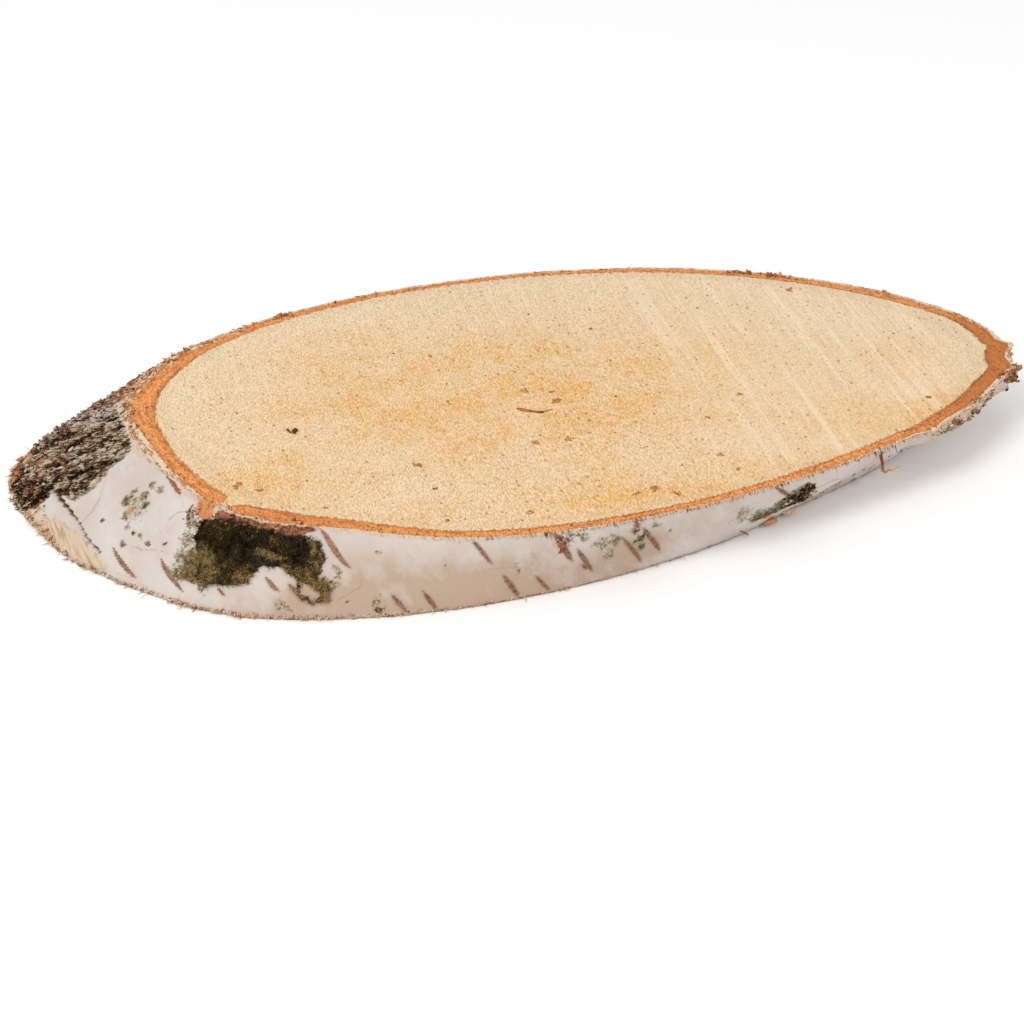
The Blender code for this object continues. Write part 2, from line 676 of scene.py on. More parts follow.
@dataclass(frozen=True)
class SawnWood(Finish):
    """Dry saw-cut birch: cream, with a deeper heart, short fibres and scattered pores."""

    cream: Colour = (0.765, 0.588, 0.388)
    pale: Colour = (0.92, 0.76, 0.56)
    ochre: Colour = (0.75, 0.385, 0.085)
    shade: Colour = (0.46, 0.245, 0.080)
    pore: Colour = (0.20, 0.080, 0.020)
    rust: Colour = (0.60, 0.22, 0.055)
    fibre_lean: float = 6.0       # degrees from across the slice

    def surface(self, desk: Desk) -> Surface:
        """Lay the stains, fibres, saw lines and pores over the cream.

        Args:
            desk: Where the nodes go.

        Returns:
            The wood's surface.
        """
        own = desk.own_place()
        dash, dash_height = desk.streaks(desk.scaled(own, (3300.0, 900.0, 900.0), self.fibre_lean), 4.4)
        nap = desk.streaks(desk.scaled(own, (1900.0, 950.0, 900.0), -8.0), 3.4)[0]
        saw = desk.streaks(desk.scaled(own, (1500.0, 20.0, 100.0), 2.0), 3.6)[0]
        sweep = desk.streaks(desk.scaled(own, (420.0, 15.0, 100.0), 2.0), 3.4)[0]
        heart = desk.times(desk.mark("heart"), desk.window(desk.blotches(own, 62.0), 0.0, 1.0, 0.62, 1.3))
        heart = desk.times(heart, desk.window(desk.blotches(own, 330.0), 0.0, 1.0, 0.75, 1.15), clamp=True)
        calm = desk.window(desk.mark("sweep"), 0.0, 1.0, 1.0, 0.62)
        lines = desk.times(desk.window(saw, 0.52, 0.95), desk.mark("saw"))
        gaps = desk.times(desk.window(saw, 0.45, 0.05), desk.mark("saw"))
        broad = desk.times(desk.window(sweep, 0.60, 1.0), desk.mark("sweep"))
        stretched = desk.scaled(own, (1.0, 0.6, 1.0))
        rusty = desk.times(desk.specks(own, 240.0, 0.20, 0.5, 2.4), desk.window(heart, 0.05, 0.7))
        colour = desk.lay(
            desk.blend(heart, self.cream, self.ochre),
            (self.shade, desk.window(nap, 0.45, 0.0), 0.28), (self.pale, desk.window(nap, 0.55, 1.0), 0.36),
            (self.pale, desk.window(dash, 0.52, 0.95), desk.times(calm, 0.50)),
            (self.shade, desk.window(dash, 0.46, 0.0), desk.times(calm, 0.42)),
            (self.pale, broad, 0.38), (self.pale, lines, 0.27), (self.shade, gaps, 0.18),
            (self.pore, desk.specks(stretched, 640.0, 0.24, 0.42, 1.4), 0.50),
            (self.pore, desk.specks(stretched, 190.0, 0.070, 0.60, 1.4), 0.80), (self.rust, rusty, 0.50))
        return Surface(colour, 0.78, desk.plus(dash_height, desk.times(lines, 0.5)), 0.11)


@dataclass(frozen=True)
class InnerBark(Finish):
    """Orange-brown inner bark cut across, with pale papery layers outside and wood inside."""

    wood: SawnWood
    orange: Colour = (0.88, 0.322, 0.080)
    russet: Colour = (0.45, 0.130, 0.028)
    umber: Colour = (0.13, 0.035, 0.012)
    pale_fibre: Colour = (0.90, 0.58, 0.31)
    paper: Colour = (0.78, 0.62, 0.46)
    paper_line: Colour = (0.50, 0.22, 0.075)

    def surface(self, desk: Desk) -> Surface:
        """Lay the ring and its layers over the wood.

        Args:
            desk: Where the nodes go.

        Returns:
            The cut bark's surface.
        """
        wood = self.wood.surface(desk)
        own = desk.own_place()
        smear = desk.scaled(own, (2400.0, 800.0, 900.0), 4.0)
        grain, grain_height = desk.streaks(smear, 3.6)
        rim_place = desk.mark("rim_place", "Vector")
        layers, layers_height = desk.streaks(desk.scaled(rim_place, (190.0, 190.0, 2300.0)), 3.4)
        border = desk.times(desk.mark("ring_line"), desk.window(layers_height, 0.42, 0.58))
        colour = desk.lay(
            desk.blend(desk.window(grain, 0.05, 0.7), self.russet, self.orange),
            (self.pale_fibre, desk.blotches(own, 700.0), 0.26),
            (self.russet, desk.window(layers, 0.42, 0.05), 0.75),
            (self.russet, desk.mark("ring_dark"), 0.72),
            (self.umber, desk.specks(own, 640.0, 0.34, 0.24, 1.8), 0.55),
            (self.umber, border, 0.70))
        paper = desk.blend(desk.window(layers, 0.44, 0.08), self.paper, self.paper_line)
        colour = desk.blend(desk.ragged(desk.mark("paper"), smear, 1.0, 1.2, 0.2), colour, paper)
        ring = desk.ragged(desk.mark("ring"), smear, 0.8, 1.1, 0.12)
        relief = desk.plus(wood.height, desk.times(grain_height, ring))
        return Surface(desk.blend(ring, wood.colour, colour), 0.85, relief, 0.24)


@dataclass(frozen=True)
class WhiteBark(Finish):
    """Smooth papery bark with brown lenticels, lichen, stains and a rough black crust."""

    chalk: Colour = (0.665, 0.625, 0.600)
    pink: Colour = (0.610, 0.530, 0.495)
    beige: Colour = (0.465, 0.342, 0.258)
    grey: Colour = (0.40, 0.355, 0.325)
    slit_core: Colour = (0.34, 0.178, 0.112)
    slit_edge: Colour = (0.17, 0.085, 0.050)
    slit_dark: Colour = (0.27, 0.075, 0.022)
    tan: Colour = (0.62, 0.475, 0.350)
    tan_stripe: Colour = (0.42, 0.285, 0.180)
    lichen: Colour = (0.27, 0.215, 0.125)
    lichen_veil: Colour = (0.45, 0.37, 0.235)
    lichen_dark: Colour = (0.050, 0.040, 0.020)
    stain: Colour = (0.37, 0.115, 0.036)
    stain_dark: Colour = (0.060, 0.018, 0.010)
    rust: Colour = (0.60, 0.235, 0.075)
    rust_dark: Colour = (0.30, 0.09, 0.028)
    crust_pit: Colour = (0.013, 0.006, 0.003)
    crust_bark: Colour = (0.130, 0.062, 0.026)
    crust_olive: Colour = (0.31, 0.208, 0.108)
    crust_pale: Colour = (0.75, 0.62, 0.47)
    crust_white: Colour = (0.68, 0.61, 0.58)
    crust_red: Colour = (0.42, 0.165, 0.070)
    crack: Colour = (0.085, 0.030, 0.012)
    crease: Colour = (0.27, 0.19, 0.125)
    moss_bed: Colour = (0.022, 0.012, 0.005)
    moss_skirt: Colour = (0.27, 0.185, 0.075)

    def surface(self, desk: Desk) -> Surface:
        """Lay the marks and the crust over the paper.

        Args:
            desk: Where the nodes go.

        Returns:
            The bark's surface.
        """
        log = desk.mark("log_place", "Vector")
        colour = self.marks_colour(desk, log, self.paper_colour(desk, log))
        colour, crust = self.crust_colour(desk, log, colour)
        paper_height = desk.streaks(desk.scaled(log, (260.0, 260.0, 1500.0)), 1.0)[1]
        lumps = desk.noise(log, 1700.0, detail=4.0, rough=0.7)
        lumps = desk.times(lumps, desk.window(crust, 0.0, 1.0, 0.12, 2.2))
        relief = desk.plus(desk.times(paper_height, 0.35), lumps)
        return Surface(colour, desk.window(crust, 0.0, 1.0, 0.58, 0.92), relief, 0.35, 0.14)

    def paper_colour(self, desk: Desk, log: Socket) -> Socket:
        """Mix the smooth bark alone.

        Args:
            desk: Where the nodes go.
            log: The place on the upright trunk.

        Returns:
            The colour.
        """
        warm = desk.blotches(desk.scaled(log, (1.0, 1.0, 1.7)), 75.0)
        fine = desk.streaks(desk.scaled(log, (160.0, 160.0, 2400.0)), 2.0)[0]
        mottle = desk.noise(log, 900.0, detail=5.0, rough=0.7)
        colour = desk.blend(desk.times(desk.blotches(log, 55.0), 0.8), self.chalk, self.pink)
        beige = desk.times(desk.plus(warm, 0.65), desk.mark("beige"), clamp=True)
        colour = desk.blend(beige, colour, self.beige)
        return desk.lay(
            colour, (self.grey, desk.window(fine, 0.35, 0.0), 0.40),
            (self.grey, desk.window(mottle, 0.58, 0.78), 0.55),
            (self.lichen_dark, desk.specks(log, 240.0, 0.10, 0.14, 1.0), 0.7))

    def marks_colour(self, desk: Desk, log: Socket, colour: Socket) -> Socket:
        """Lay the peeled strips, lenticels, lichen and stains over the bark, with the dark band along its
        foot that is partly torn-fibre tint and partly a painted shadow line.

        Args:
            desk: Where the nodes go.
            log: The place on the upright trunk.
            colour: The smooth bark's colour.

        Returns:
            The colour with the marks.
        """
        crumbs = desk.noise(log, 1300.0, detail=4.0, rough=0.75)
        stripes = desk.streaks(desk.scaled(log, (110.0, 110.0, 1500.0)), 3.0)[0]
        dark = desk.minus(crumbs, desk.window(desk.mark("lichen"), 0.5, 1.0, -0.02, 0.14))
        pepper = desk.window(desk.noise(log, 2300.0, detail=2.0, rough=0.6), 0.57, 0.64)
        pepper = desk.times(pepper, desk.window(desk.mark("lichen"), 0.10, 0.5))

        def coat(mark: str, fineness: float, fray: float, softness: float, tone: Socket,
                 window: tuple[float, float], first: Colour, second: Colour, strength: float) -> tuple:
            """Return a frayed coat that goes from its first to its second colour over a window."""
            share = desk.ragged(desk.mark(mark), log, fineness, fray, softness)
            return desk.blend(desk.window(tone, *window), first, second), share, strength

        return desk.lay(
            colour, coat("peel", 900.0, 1.5, 0.35, stripes, (0.50, 0.08), self.tan, self.tan_stripe, 0.92),
            (self.crease, desk.mark("crease"), 0.6),
            coat("lenticel", 900.0, 0.45, 0.22, crumbs, (0.44, 0.62), self.slit_core, self.slit_edge, 1.0),
            coat("dark_slit", 1100.0, 0.35, 0.16, crumbs, (0.44, 0.66), self.slit_dark, self.rust, 0.97),
            (self.lichen_veil, desk.window(desk.mark("lichen"), 0.12, 0.70), 0.66),
            coat("lichen", 1100.0, 2.8, 0.28, dark, (0.40, 0.54), self.lichen_dark, self.lichen, 0.95),
            (self.lichen_dark, pepper, 0.85),
            coat("stain", 900.0, 1.7, 0.3, crumbs, (0.42, 0.56), self.stain_dark, self.stain, 0.96),
            coat("rust", 1100.0, 1.7, 0.3, crumbs, (0.38, 0.52), self.rust_dark, self.rust, 0.94))

    def crust_colour(self, desk: Desk, log: Socket, colour: Socket) -> tuple[Socket, Socket]:
        """Lay the rough crust, the bed of the moss and the cracks over the bark.

        Args:
            desk: Where the nodes go.
            log: The place on the upright trunk.
            colour: The colour of the bark with its marks.

        Returns:
            The whole bark's colour, and the crust's mask.
        """
        fine = desk.noise(log, 1500.0, detail=5.0, rough=0.8)
        cloud = desk.noise(log, 330.0)
        dusty = desk.times(desk.window(desk.mark("crust"), 0.02, 0.40), desk.window(fine, 0.47, 0.56))
        colour = desk.lay(colour, (self.crust_olive, dusty, 0.8))
        top = desk.plus(desk.times(desk.minus(fine, 0.5), 3.9), desk.times(desk.minus(cloud, 0.5), 1.3))
        for mark, share in (("crust_height", 1.0), ("crust_white", 0.26), ("crust_dark", -0.36)):
            top = desk.plus(top, desk.times(desk.mark(mark), share))
        pale = desk.blend(desk.mark("crust_white"), self.crust_pale, self.crust_white)
        coat = desk.blend(desk.window(top, 0.20, 0.38), self.crust_pit, self.crust_bark)
        coat = desk.blend(desk.window(top, 0.38, 0.56), coat, self.crust_olive)
        coat = desk.blend(desk.window(top, 0.56, 0.76), coat, pale)
        red = desk.noise(log, 430.0, detail=3.0, rough=0.6)
        red = desk.plus(red, desk.times(desk.mark("crust_red"), 0.16))
        red = desk.times(desk.window(red, 0.54, 0.64), desk.window(top, 0.20, 0.45))
        crust = desk.ragged(desk.mark("crust"), log, 900.0, 1.6, 0.3)
        colour = desk.blend(crust, colour, desk.lay(coat, (self.crust_red, red, 0.75)))
        skirt = desk.times(desk.mark("moss_pale"), desk.window(fine, 0.46, 0.54))
        bed = desk.ragged(desk.mark("moss"), log, 900.0, 2.2, 0.3)
        colour = desk.blend(bed, colour, desk.blend(skirt, self.moss_bed, self.moss_skirt))
        split = desk.ragged(desk.mark("crack"), log, 1500.0, 0.5, 0.2)
        inside = desk.blend(desk.window(fine, 0.54, 0.72), self.crack, self.rust_dark)
        return desk.blend(split, colour, inside), crust


@dataclass(frozen=True)
class Rough(Finish):
    """Small rough bits; the mark called tone runs from dark to pale, and fleck picks out the odd ones."""

    dark: Colour
    middle: Colour
    pale: Colour
    middle_tones: tuple[float, float] = (0.15, 0.6)
    pale_tones: tuple[float, float] = (0.6, 1.1)
    fineness: float = 1500.0
    contrast: float = 1.4
    grain_share: float = 0.3
    relief_mm: float = 0.1
    shine: float = 0.2
    fleck: Colour = (0.42, 0.155, 0.055)

    def surface(self, desk: Desk) -> Surface:
        """Colour each bit by its tone and a little grain.

        Args:
            desk: Where the nodes go.

        Returns:
            The bits' surface.
        """
        grain, height = desk.streaks(desk.own_place(), self.contrast, self.fineness)
        tone = desk.plus(desk.mark("tone"), desk.times(grain, self.grain_share))
        colour = desk.blend(desk.window(tone, *self.middle_tones), self.dark, self.middle)
        colour = desk.blend(desk.window(tone, *self.pale_tones), colour, self.pale)
        colour = desk.blend(desk.mark("fleck"), colour, self.fleck)
        return Surface(colour, 0.9, height, self.relief_mm, self.shine)


TORN_FIBRE = Rough(dark=(0.13, 0.045, 0.018), middle=(0.60, 0.235, 0.070), pale=(0.78, 0.60, 0.41))
ROUGH_BARK = Rough(
    dark=(0.018, 0.010, 0.006), middle=(0.15, 0.085, 0.042), pale=(0.64, 0.53, 0.41), middle_tones=(0.2, 0.7),
    pale_tones=(0.75, 1.2), contrast=1.8, grain_share=0.5, relief_mm=0.25, shine=0.05)
MOSS = Rough(
    dark=(0.008, 0.004, 0.002), middle=(0.084, 0.054, 0.014), pale=(0.48, 0.31, 0.115),
    pale_tones=(0.6, 1.15), fineness=500.0, contrast=3.0, grain_share=0.25, relief_mm=0.05, shine=0.03,
    fleck=(0.50, 0.42, 0.24))


# ---- What grows and breaks on the bark --------------------


Spot = tuple[float, float]        # an angle in degrees and a height in millimetres


def gap_to_line(place: Array, start: Array, end: Array) -> tuple[Array, Array]:
    """Measure points against a straight line on the flat bark.

    Args:
        place: The points.
        start: Where the line starts.
        end: Where it ends.

    Returns:
        How far along the line each point is, as a share of it, and how far off it.
    """
    way, off = end - start, place - start
    share = np.clip((off @ way) / (way @ way), 0.0, 1.0)
    return share, np.linalg.norm(off - share[..., None] * way, axis=-1)


class Feature:
    """Something drawn on the bark about its spots."""

    def shape(self, place: Array, spots: Array) -> Array:
        """Return the cover of points on the flat bark, from 0 to 1; the spots lie on it too."""
        raise NotImplementedError

    def cover(self, skin: TrunkSkin, angle: Array, height: Array) -> Array:
        """Find how strongly the feature covers some points.

        Args:
            skin: The bark it is drawn on.
            angle: The points' angles.
            height: Their heights.

        Returns:
            From 0 well outside the feature to its strength inside.
        """
        given = np.array(self.spots)
        about = self.spots[0][0]
        spots = skin.sheet(given[:, 0], given[:, 1] * MM, about)
        return self.strength * self.shape(skin.sheet(angle, height, about), spots)


@dataclass(frozen=True)
class Patch(Feature):
    """A soft-edged oval, with its half sizes in millimetres round and along the trunk."""

    angle: float
    height_mm: float
    half_round: float
    half_along: float
    strength: float = 1.0
    lean: float = 0.0             # how far along it moves for each millimetre round

    @property
    def spots(self) -> tuple[Spot, ...]:
        """Return its middle."""
        return ((self.angle, self.height_mm),)

    def shape(self, place: Array, spots: Array) -> Array:
        """Fade out from the middle.

        Args:
            place: Points on the flat bark.
            spots: Its middle.

        Returns:
            The cover of each point.
        """
        off = place - spots[0]
        along = off[..., 1] - self.lean * off[..., 0]
        reach = (off[..., 0] / self.half_round) ** 2 + (along / self.half_along) ** 2
        return np.exp(-0.7 * reach**1.5)


@dataclass(frozen=True)
class Outline(Feature):
    """A patch with a drawn border through its spots; softness is in millimetres."""

    spots: tuple[Spot, ...]
    softness: float = 1.0
    strength: float = 1.0

    def shape(self, place: Array, spots: Array) -> Array:
        """Cover what the border goes round, a half on the border itself.

        Args:
            place: Points on the flat bark.
            spots: The border's corners.

        Returns:
            The cover of each point.
        """
        inside = np.zeros(place.shape[:-1], bool)
        gap = np.full(place.shape[:-1], 99.0)
        for start, end in zip(spots, np.roll(spots, -1, axis=0)):
            gap = np.minimum(gap, gap_to_line(place, start, end)[1])
            way = end - start
            crosses = (start[1] > place[..., 1]) != (end[1] > place[..., 1])
            reach = start[0] + way[0] * (place[..., 1] - start[1]) / (way[1] if abs(way[1]) > 1e-9 else 1e-9)
            inside ^= crosses & (place[..., 0] < reach)
        return smooth_step(np.where(inside, gap, -gap), -self.softness, self.softness)


@dataclass(frozen=True)
class Stroke(Feature):
    """A line through its spots, with its width in millimetres at each."""

    spots: tuple[Spot, ...]
    widths: tuple[float, ...]
    strength: float = 1.0

    def shape(self, place: Array, spots: Array) -> Array:
        """Cover the line's middle, falling to 0 beyond its edges.

        Args:
            place: Points on the flat bark.
            spots: The line's spots.

        Returns:
            The cover of each point.
        """
        cover = np.zeros(place.shape[:-1])
        for start, end, from_width, to_width in zip(spots, spots[1:], self.widths, self.widths[1:]):
            share, gap = gap_to_line(place, start, end)
            half = 0.5 * (from_width + (to_width - from_width) * share) + 0.02
            cover = np.maximum(cover, smooth_step(gap / half, 1.5, 0.4))
        return cover


SLIT_SHARES = (0.0, 0.2, 0.5, 0.8, 1.0)        # along a lenticel
SLIT_WIDTHS = (0.15, 0.75, 1.0, 0.75, 0.15)    # there, as shares of its full width


def slit(start_angle: float, start_mm: float, end_angle: float, end_mm: float, width: float = 1.35) -> Stroke:
    """Draw a lenticel, the corky breathing slit of birch bark, pointed at both ends.

    Args:
        start_angle: Where it starts, round the trunk.
        start_mm: The height there.
        end_angle: Where it ends.
        end_mm: The height there.
        width: Its full width in millimetres.

    Returns:
        The slit.
    """
    turn, climb = end_angle - start_angle, end_mm - start_mm
    spots = tuple((start_angle + turn * share, start_mm + climb * share) for share in SLIT_SHARES)
    return Stroke(spots, tuple(share * width for share in SLIT_WIDTHS))


DRAWN: dict[str, tuple[Feature, ...]] = {        # what lies on the bark, by the mark that it makes
    "lenticel": (
        slit(-150.1, 4.8, -139.7, 1.8), slit(-140.1, 6.8, -130.9, 2.5), slit(-125.9, 17.2, -115.9, 10.8, 1.5),
        slit(-120.5, 7.8, -115.9, 4.2, 1.2), slit(-123.9, 8.5, -119.9, 5.8, 1.2),
        slit(-127.5, 5.2, -125, 3.6, 0.8), slit(-107.9, 5.5, -102.9, 0.5, 1.2),
        slit(-105, 5.8, -99.5, 0, 1.2), slit(-107.8, 17.2, -101.1, 10.5, 1.2),
        slit(-98.3, 7.8, -91.1, 0, 1.4), slit(-93.9, 6.2, -87.7, 0, 1), slit(-99.8, 17.4, -91.3, 8.2, 1.9),
        slit(-93.6, 12, -85.9, 3.8, 1.4), slit(-89.3, 12.8, -78.9, 2.5, 1.2),
        slit(-88.6, 14.8, -77.9, 4.2, 1.3), slit(-74.5, 17.5, -64.1, 9.8, 1.1),
        slit(-89.5, 7, -87.3, 4.8, 0.7),
    ),
    "dark_slit": (
        Stroke(((-162, 17.2), (-158.6, 17), (-155.5, 16.7), (-153.2, 16.5), (-151, 16.2)),
            (0.1, 0.5, 1, 1.3, 0.3)),
        Stroke(((-177.4, 17.4), (-174, 17.3), (-170, 17.1), (-166.8, 16.9)), (0.1, 0.4, 0.4, 0.5), 0.7),
        Stroke(((-96.4, 13.5), (-95, 11.6)), (0.2, 0.5), 0.9),
    ),
    "lichen": (
        Patch(-160.2, 11.2, 1.7, 1.7, 0.92), Patch(-161.5, 12.6, 1.3, 1, 0.8),
        Patch(-154.9, 12.3, 0.9, 0.9, 1), Patch(-158, 13.2, 1.8, 1, 0.72),
        Patch(-159.6, 14.9, 1.5, 0.9, 0.68), Patch(-156.4, 15.2, 1.5, 0.9, 0.64),
        Patch(-152.3, 8.6, 0.8, 0.7, 0.7), Patch(-150, 8.3, 0.9, 0.6, 0.9), Patch(-148.2, 8.4, 1, 0.6, 0.85),
        Patch(-145.4, 8, 0.9, 0.6, 0.85), Patch(-156.2, 9.6, 1.9, 1, 0.72),
        Patch(-156.8, 11.6, 4.3, 3.6, 0.46), Patch(-159.4, 7, 0.65, 0.75, 1),
        Patch(-149.2, 6, 1.2, 0.55, 0.8), Patch(-142.4, 9, 0.4, 0.5, 1), Patch(-106.6, 1.8, 1, 1, 1),
        Patch(-107.9, 3.4, 1.9, 1.5, 0.5), Patch(-115.7, 13.8, 0.45, 0.45, 0.9),
        Patch(-111.3, 4, 0.35, 0.35, 0.9), Patch(-94.7, 14.8, 1.4, 0.9, 0.55), Patch(-91, 12, 2, 2, 0.52),
        Patch(-87.2, 8.4, 1.8, 1.6, 0.45), Patch(-89.5, 12.2, 2, 1.3, 0.72), Patch(-88.4, 13.8, 1, 1.4, 0.80),
        Patch(-86, 11.4, 1.1, 2.2, 0.95, -0.5), Patch(-83.8, 8.4, 1, 1.7, 0.92, -0.4),
        Patch(-86.6, 14.8, 0.9, 0.9, 0.7), Patch(-96.4, 7.4, 1.3, 0.4, 0.55), Patch(-98, 9.4, 1.2, 0.4, 0.5),
        Patch(-98, 11.9, 1.1, 0.4, 0.5), Patch(-71.5, 9.5, 3.8, 2.2, 0.50), Patch(-66.4, 7, 2.6, 2.2, 0.74),
        Patch(-63.2, 5.4, 1.8, 2.2, 0.95), Patch(-64.9, 8.4, 1.8, 1.4, 0.9), Patch(-137, 8.4, 2.6, 2.4, 0.72),
        Patch(-134.8, 5.4, 2.2, 1.5, 0.78), Patch(-139.9, 11, 2.2, 1.9, 0.62),
        Patch(-142.6, 13.2, 1.6, 1.3, 0.72), Patch(-144.6, 14.7, 1.1, 1, 0.85),
        Patch(-129.8, 4.5, 2.2, 1, 0.70), Patch(-117, 10.2, 1.6, 1.1, 0.5), Patch(-115.4, 8, 1.3, 1.2, 0.60),
        Patch(-117.4, 3, 2, 1, 0.52), Patch(-97.2, 16.2, 1.2, 0.8, 0.7), Patch(-95.4, 15, 1.4, 0.9, 0.72),
        Stroke(((-176.6, 7), (-172.2, 7.4), (-171.4, 9.6)), (2.6, 3.2, 1.6), 0.6),
        Outline(((-68, 6.6), (-66.4, 8.6), (-63.5, 8.8), (-60.6, 6.8), (-61, 5), (-64.4, 4.2)), 1.3, 0.8),
        Patch(75, 9, 7, 3, 0.72), Patch(52, 5, 5, 2.4, 0.66), Patch(112, 12, 5, 2.6, 0.6),
        Patch(20, 8, 6, 2.6, 0.6), Patch(134, 6, 4, 3, 0.7), Patch(96, 5, 3, 3, 0.6),
        Patch(140, 12, 3, 3, 0.8),
    ),
    "moss": (
        Outline(((-142, 14.6), (-137.8, 16.4), (-133.3, 16.2), (-128.4, 15.6), (-124.2, 15.4), (-121.8, 13.9),
            (-120, 12.2), (-119.4, 10.8), (-118.4, 9.6), (-116.6, 8.8), (-114.2, 6.4), (-113.3, 4.2),
            (-114.8, 4.1), (-115.2, 5.8), (-116.9, 7.3), (-118.6, 8), (-119.8, 8.6), (-122.6, 9.8),
            (-126, 10.7), (-124.8, 8.8), (-124.4, 7.1), (-126.8, 6.3), (-129.2, 5.9), (-132, 6.4),
            (-134.2, 8.4), (-136.4, 10.6), (-139.8, 12.6)), 0.6),
        Outline(((-138, 11), (-135.4, 7.2), (-133.9, 5.2), (-131.2, 4.4), (-128.2, 4.8), (-128.6, 7),
            (-132, 8.8)), 0.9, 0.82),
        Stroke(((-119.4, 8.3), (-117.8, 6.4), (-116.4, 5), (-115, 4.2)), (1.2, 0.9, 0.9, 1.2), 0.8),
    ),
    "moss_pale": (
        Outline(((-139, 10.8), (-135.4, 6.6), (-133.6, 4.8), (-131, 3.8), (-128, 4.4), (-129, 7.4),
            (-131.4, 9.2), (-135, 11.6)), 1.3),
        Stroke(((-125, 15.4), (-121.8, 13.2), (-120, 10.9), (-117.4, 9.2), (-115, 6.8), (-113.8, 4.6)),
            (1.2, 1.8, 1.8, 1.6, 1.6, 1.8), 0.75),
        Stroke(((-129, 12.5), (-127.3, 12.2), (-124.5, 11.8)), (1.6, 1.5, 0.6), 0.9),
        Stroke(((-119.4, 8.3), (-117.8, 6.4), (-116.4, 5)), (1.2, 0.9, 0.9), 0.6),
    ),
    "stain": (
        Stroke(((-146.6, 15.9), (-145.2, 14.9), (-143.6, 13.6), (-142.4, 12.6)), (0.8, 1.1, 0.9, 0.3), 0.95),
        Outline(((-141.4, 17), (-137.8, 17.1), (-133, 17), (-127.6, 17.2), (-125.6, 16.6), (-127.6, 15.2),
            (-131, 14.9), (-137.4, 15.6), (-141.4, 15.2)), 0.45), Patch(-99.9, 17, 0.9, 0.9, 0.8),
        Patch(-97.6, 15.6, 1.1, 1, 0.7), Patch(-96.2, 14.2, 1, 1.4, 0.72), Patch(-95.2, 12, 0.8, 1.2, 0.62),
        Patch(-90.6, 16.9, 0.9, 0.7, 0.85), Patch(-89.2, 15.4, 0.8, 0.8, 0.8),
        Patch(-62.2, 7.6, 0.9, 0.9, 0.9), Patch(-73.2, 17.2, 0.7, 0.7, 0.8), Patch(-40, 15.6, 2.2, 0.7, 0.95),
        Patch(-33, 14.2, 3, 0.8, 0.9), Patch(-27, 13, 2.4, 0.8, 0.85), Patch(-20, 15.2, 2.2, 2.4, 1),
        Patch(-12, 12, 5, 3, 0.7), Patch(95, 15.5, 3, 1.4, 0.7), Patch(35, 14.5, 4, 1.6, 0.8),
    ),
    "rust": (
        Outline(((-147.2, 18.6), (-143.4, 18.6), (-142.8, 16.8), (-140.7, 15), (-141.8, 14), (-143.6, 14.9),
            (-146.2, 16.8)), 0.35), Patch(-156.9, 10.3, 0.8, 0.9, 1), Patch(-131.5, 16.4, 6, 0.9, 0.6),
        Patch(-57.5, 1.4, 3.4, 1), Patch(-62, 4.4, 2, 0.9, 0.8), Patch(-52.5, 1.2, 2.8, 1, 0.9),
        Patch(-19, 13.4, 2.6, 1.6, 0.8), Patch(-91, 6.6, 2.6, 1, 0.42), Patch(-96.6, 13.8, 1.2, 1.2, 0.5),
        Patch(-36.5, 13.6, 1.6, 0.6, 0.8),
        Stroke(((-177.8, 1.2), (-175.8, 0.5), (-172.6, 0.4), (-170.2, 1.2)), (0.8, 1, 0.9, 0.7), 0.85),
        Outline(((153, -1), (154.4, 2.4), (162.4, 5), (164.6, 3), (167.4, 1.2), (167.4, -1)), 0.8, 0.95),
        Patch(150, 15.2, 7, 4, 0.9), Patch(157.6, 17, 5, 1.5, 0.7), Patch(146, 10, 4, 4, 0.6),
    ),
    "peel": (
        Outline(((-177.6, 2.6), (-173, 2.8), (-169.4, 2.9), (-162.4, 3.7), (-156.8, 3.3), (-151.4, 2.8),
            (-146.5, 1.6), (-150, 0), (-156, -1), (-176, -1), (-178, 1)), 0.6),
        Outline(((170, 18.5), (-156, 18.5), (-160, 17.2), (-168, 16.7), (-176, 16.5), (170, 17)), 0.6),
        Outline(((-143.4, 18.3), (-140.6, 18.3), (-139.4, 16.4), (-141, 15.2), (-142.6, 16.8)), 0.35),
        Outline(((-48, 18.6), (-8, 18.6), (-10, 13), (-30, 9.5), (-42, 11.5)), 1.6, 0.95),
        Patch(132, 13.5, 12, 4.5, 0.9), Patch(62, 15.5, 18, 1.6, 0.75),
    ),
    "crack": (
        Stroke(((178.5, 6.4), (-176.5, 5.6), (-171.3, 5), (-164.8, 4.5)), (1, 1.5, 1.2, 0.7)),
        Stroke(((-164.8, 4.5), (-156.8, 3.5), (-151.4, 3)), (0.75, 0.6, 0.8), 0.9),
        Stroke(((-66, 5.2), (-62.5, 5.4), (-59.6, 6.4)), (0.5, 0.8, 0.4), 0.9),
        Stroke(((-56.9, 17.5), (-54.6, 15.6), (-52.4, 14.2)), (0.6, 0.5, 0.7), 0.95),
    ),
    "crease": (
        Stroke(((-171.4, 11.5), (-167.5, 9.5), (-164.3, 7), (-163.2, 4.8)), (0.3, 0.35, 0.35, 0.3), 0.8),
        Stroke(((-147, 12.5), (-147.3, 14), (-146.1, 15), (-144.6, 15.4)), (0.3, 0.3, 0.35, 0.4), 0.9),
        Stroke(((-146.6, 6.2), (-142, 7.6), (-139.6, 8)), (0.2, 0.3, 0.2), 0.7),
        Stroke(((-60.9, 10.8), (-59.7, 12), (-55, 10), (-50.3, 7.5)), (0.25, 0.3, 0.3, 0.2), 0.8),
        Stroke(((-112.5, 4.6), (-112, 7.4), (-113.6, 9.2)), (0.2, 0.3, 0.2), 0.6),
        Stroke(((-101.4, 9.6), (-97, 9), (-95, 7.6)), (0.2, 0.25, 0.2), 0.5),
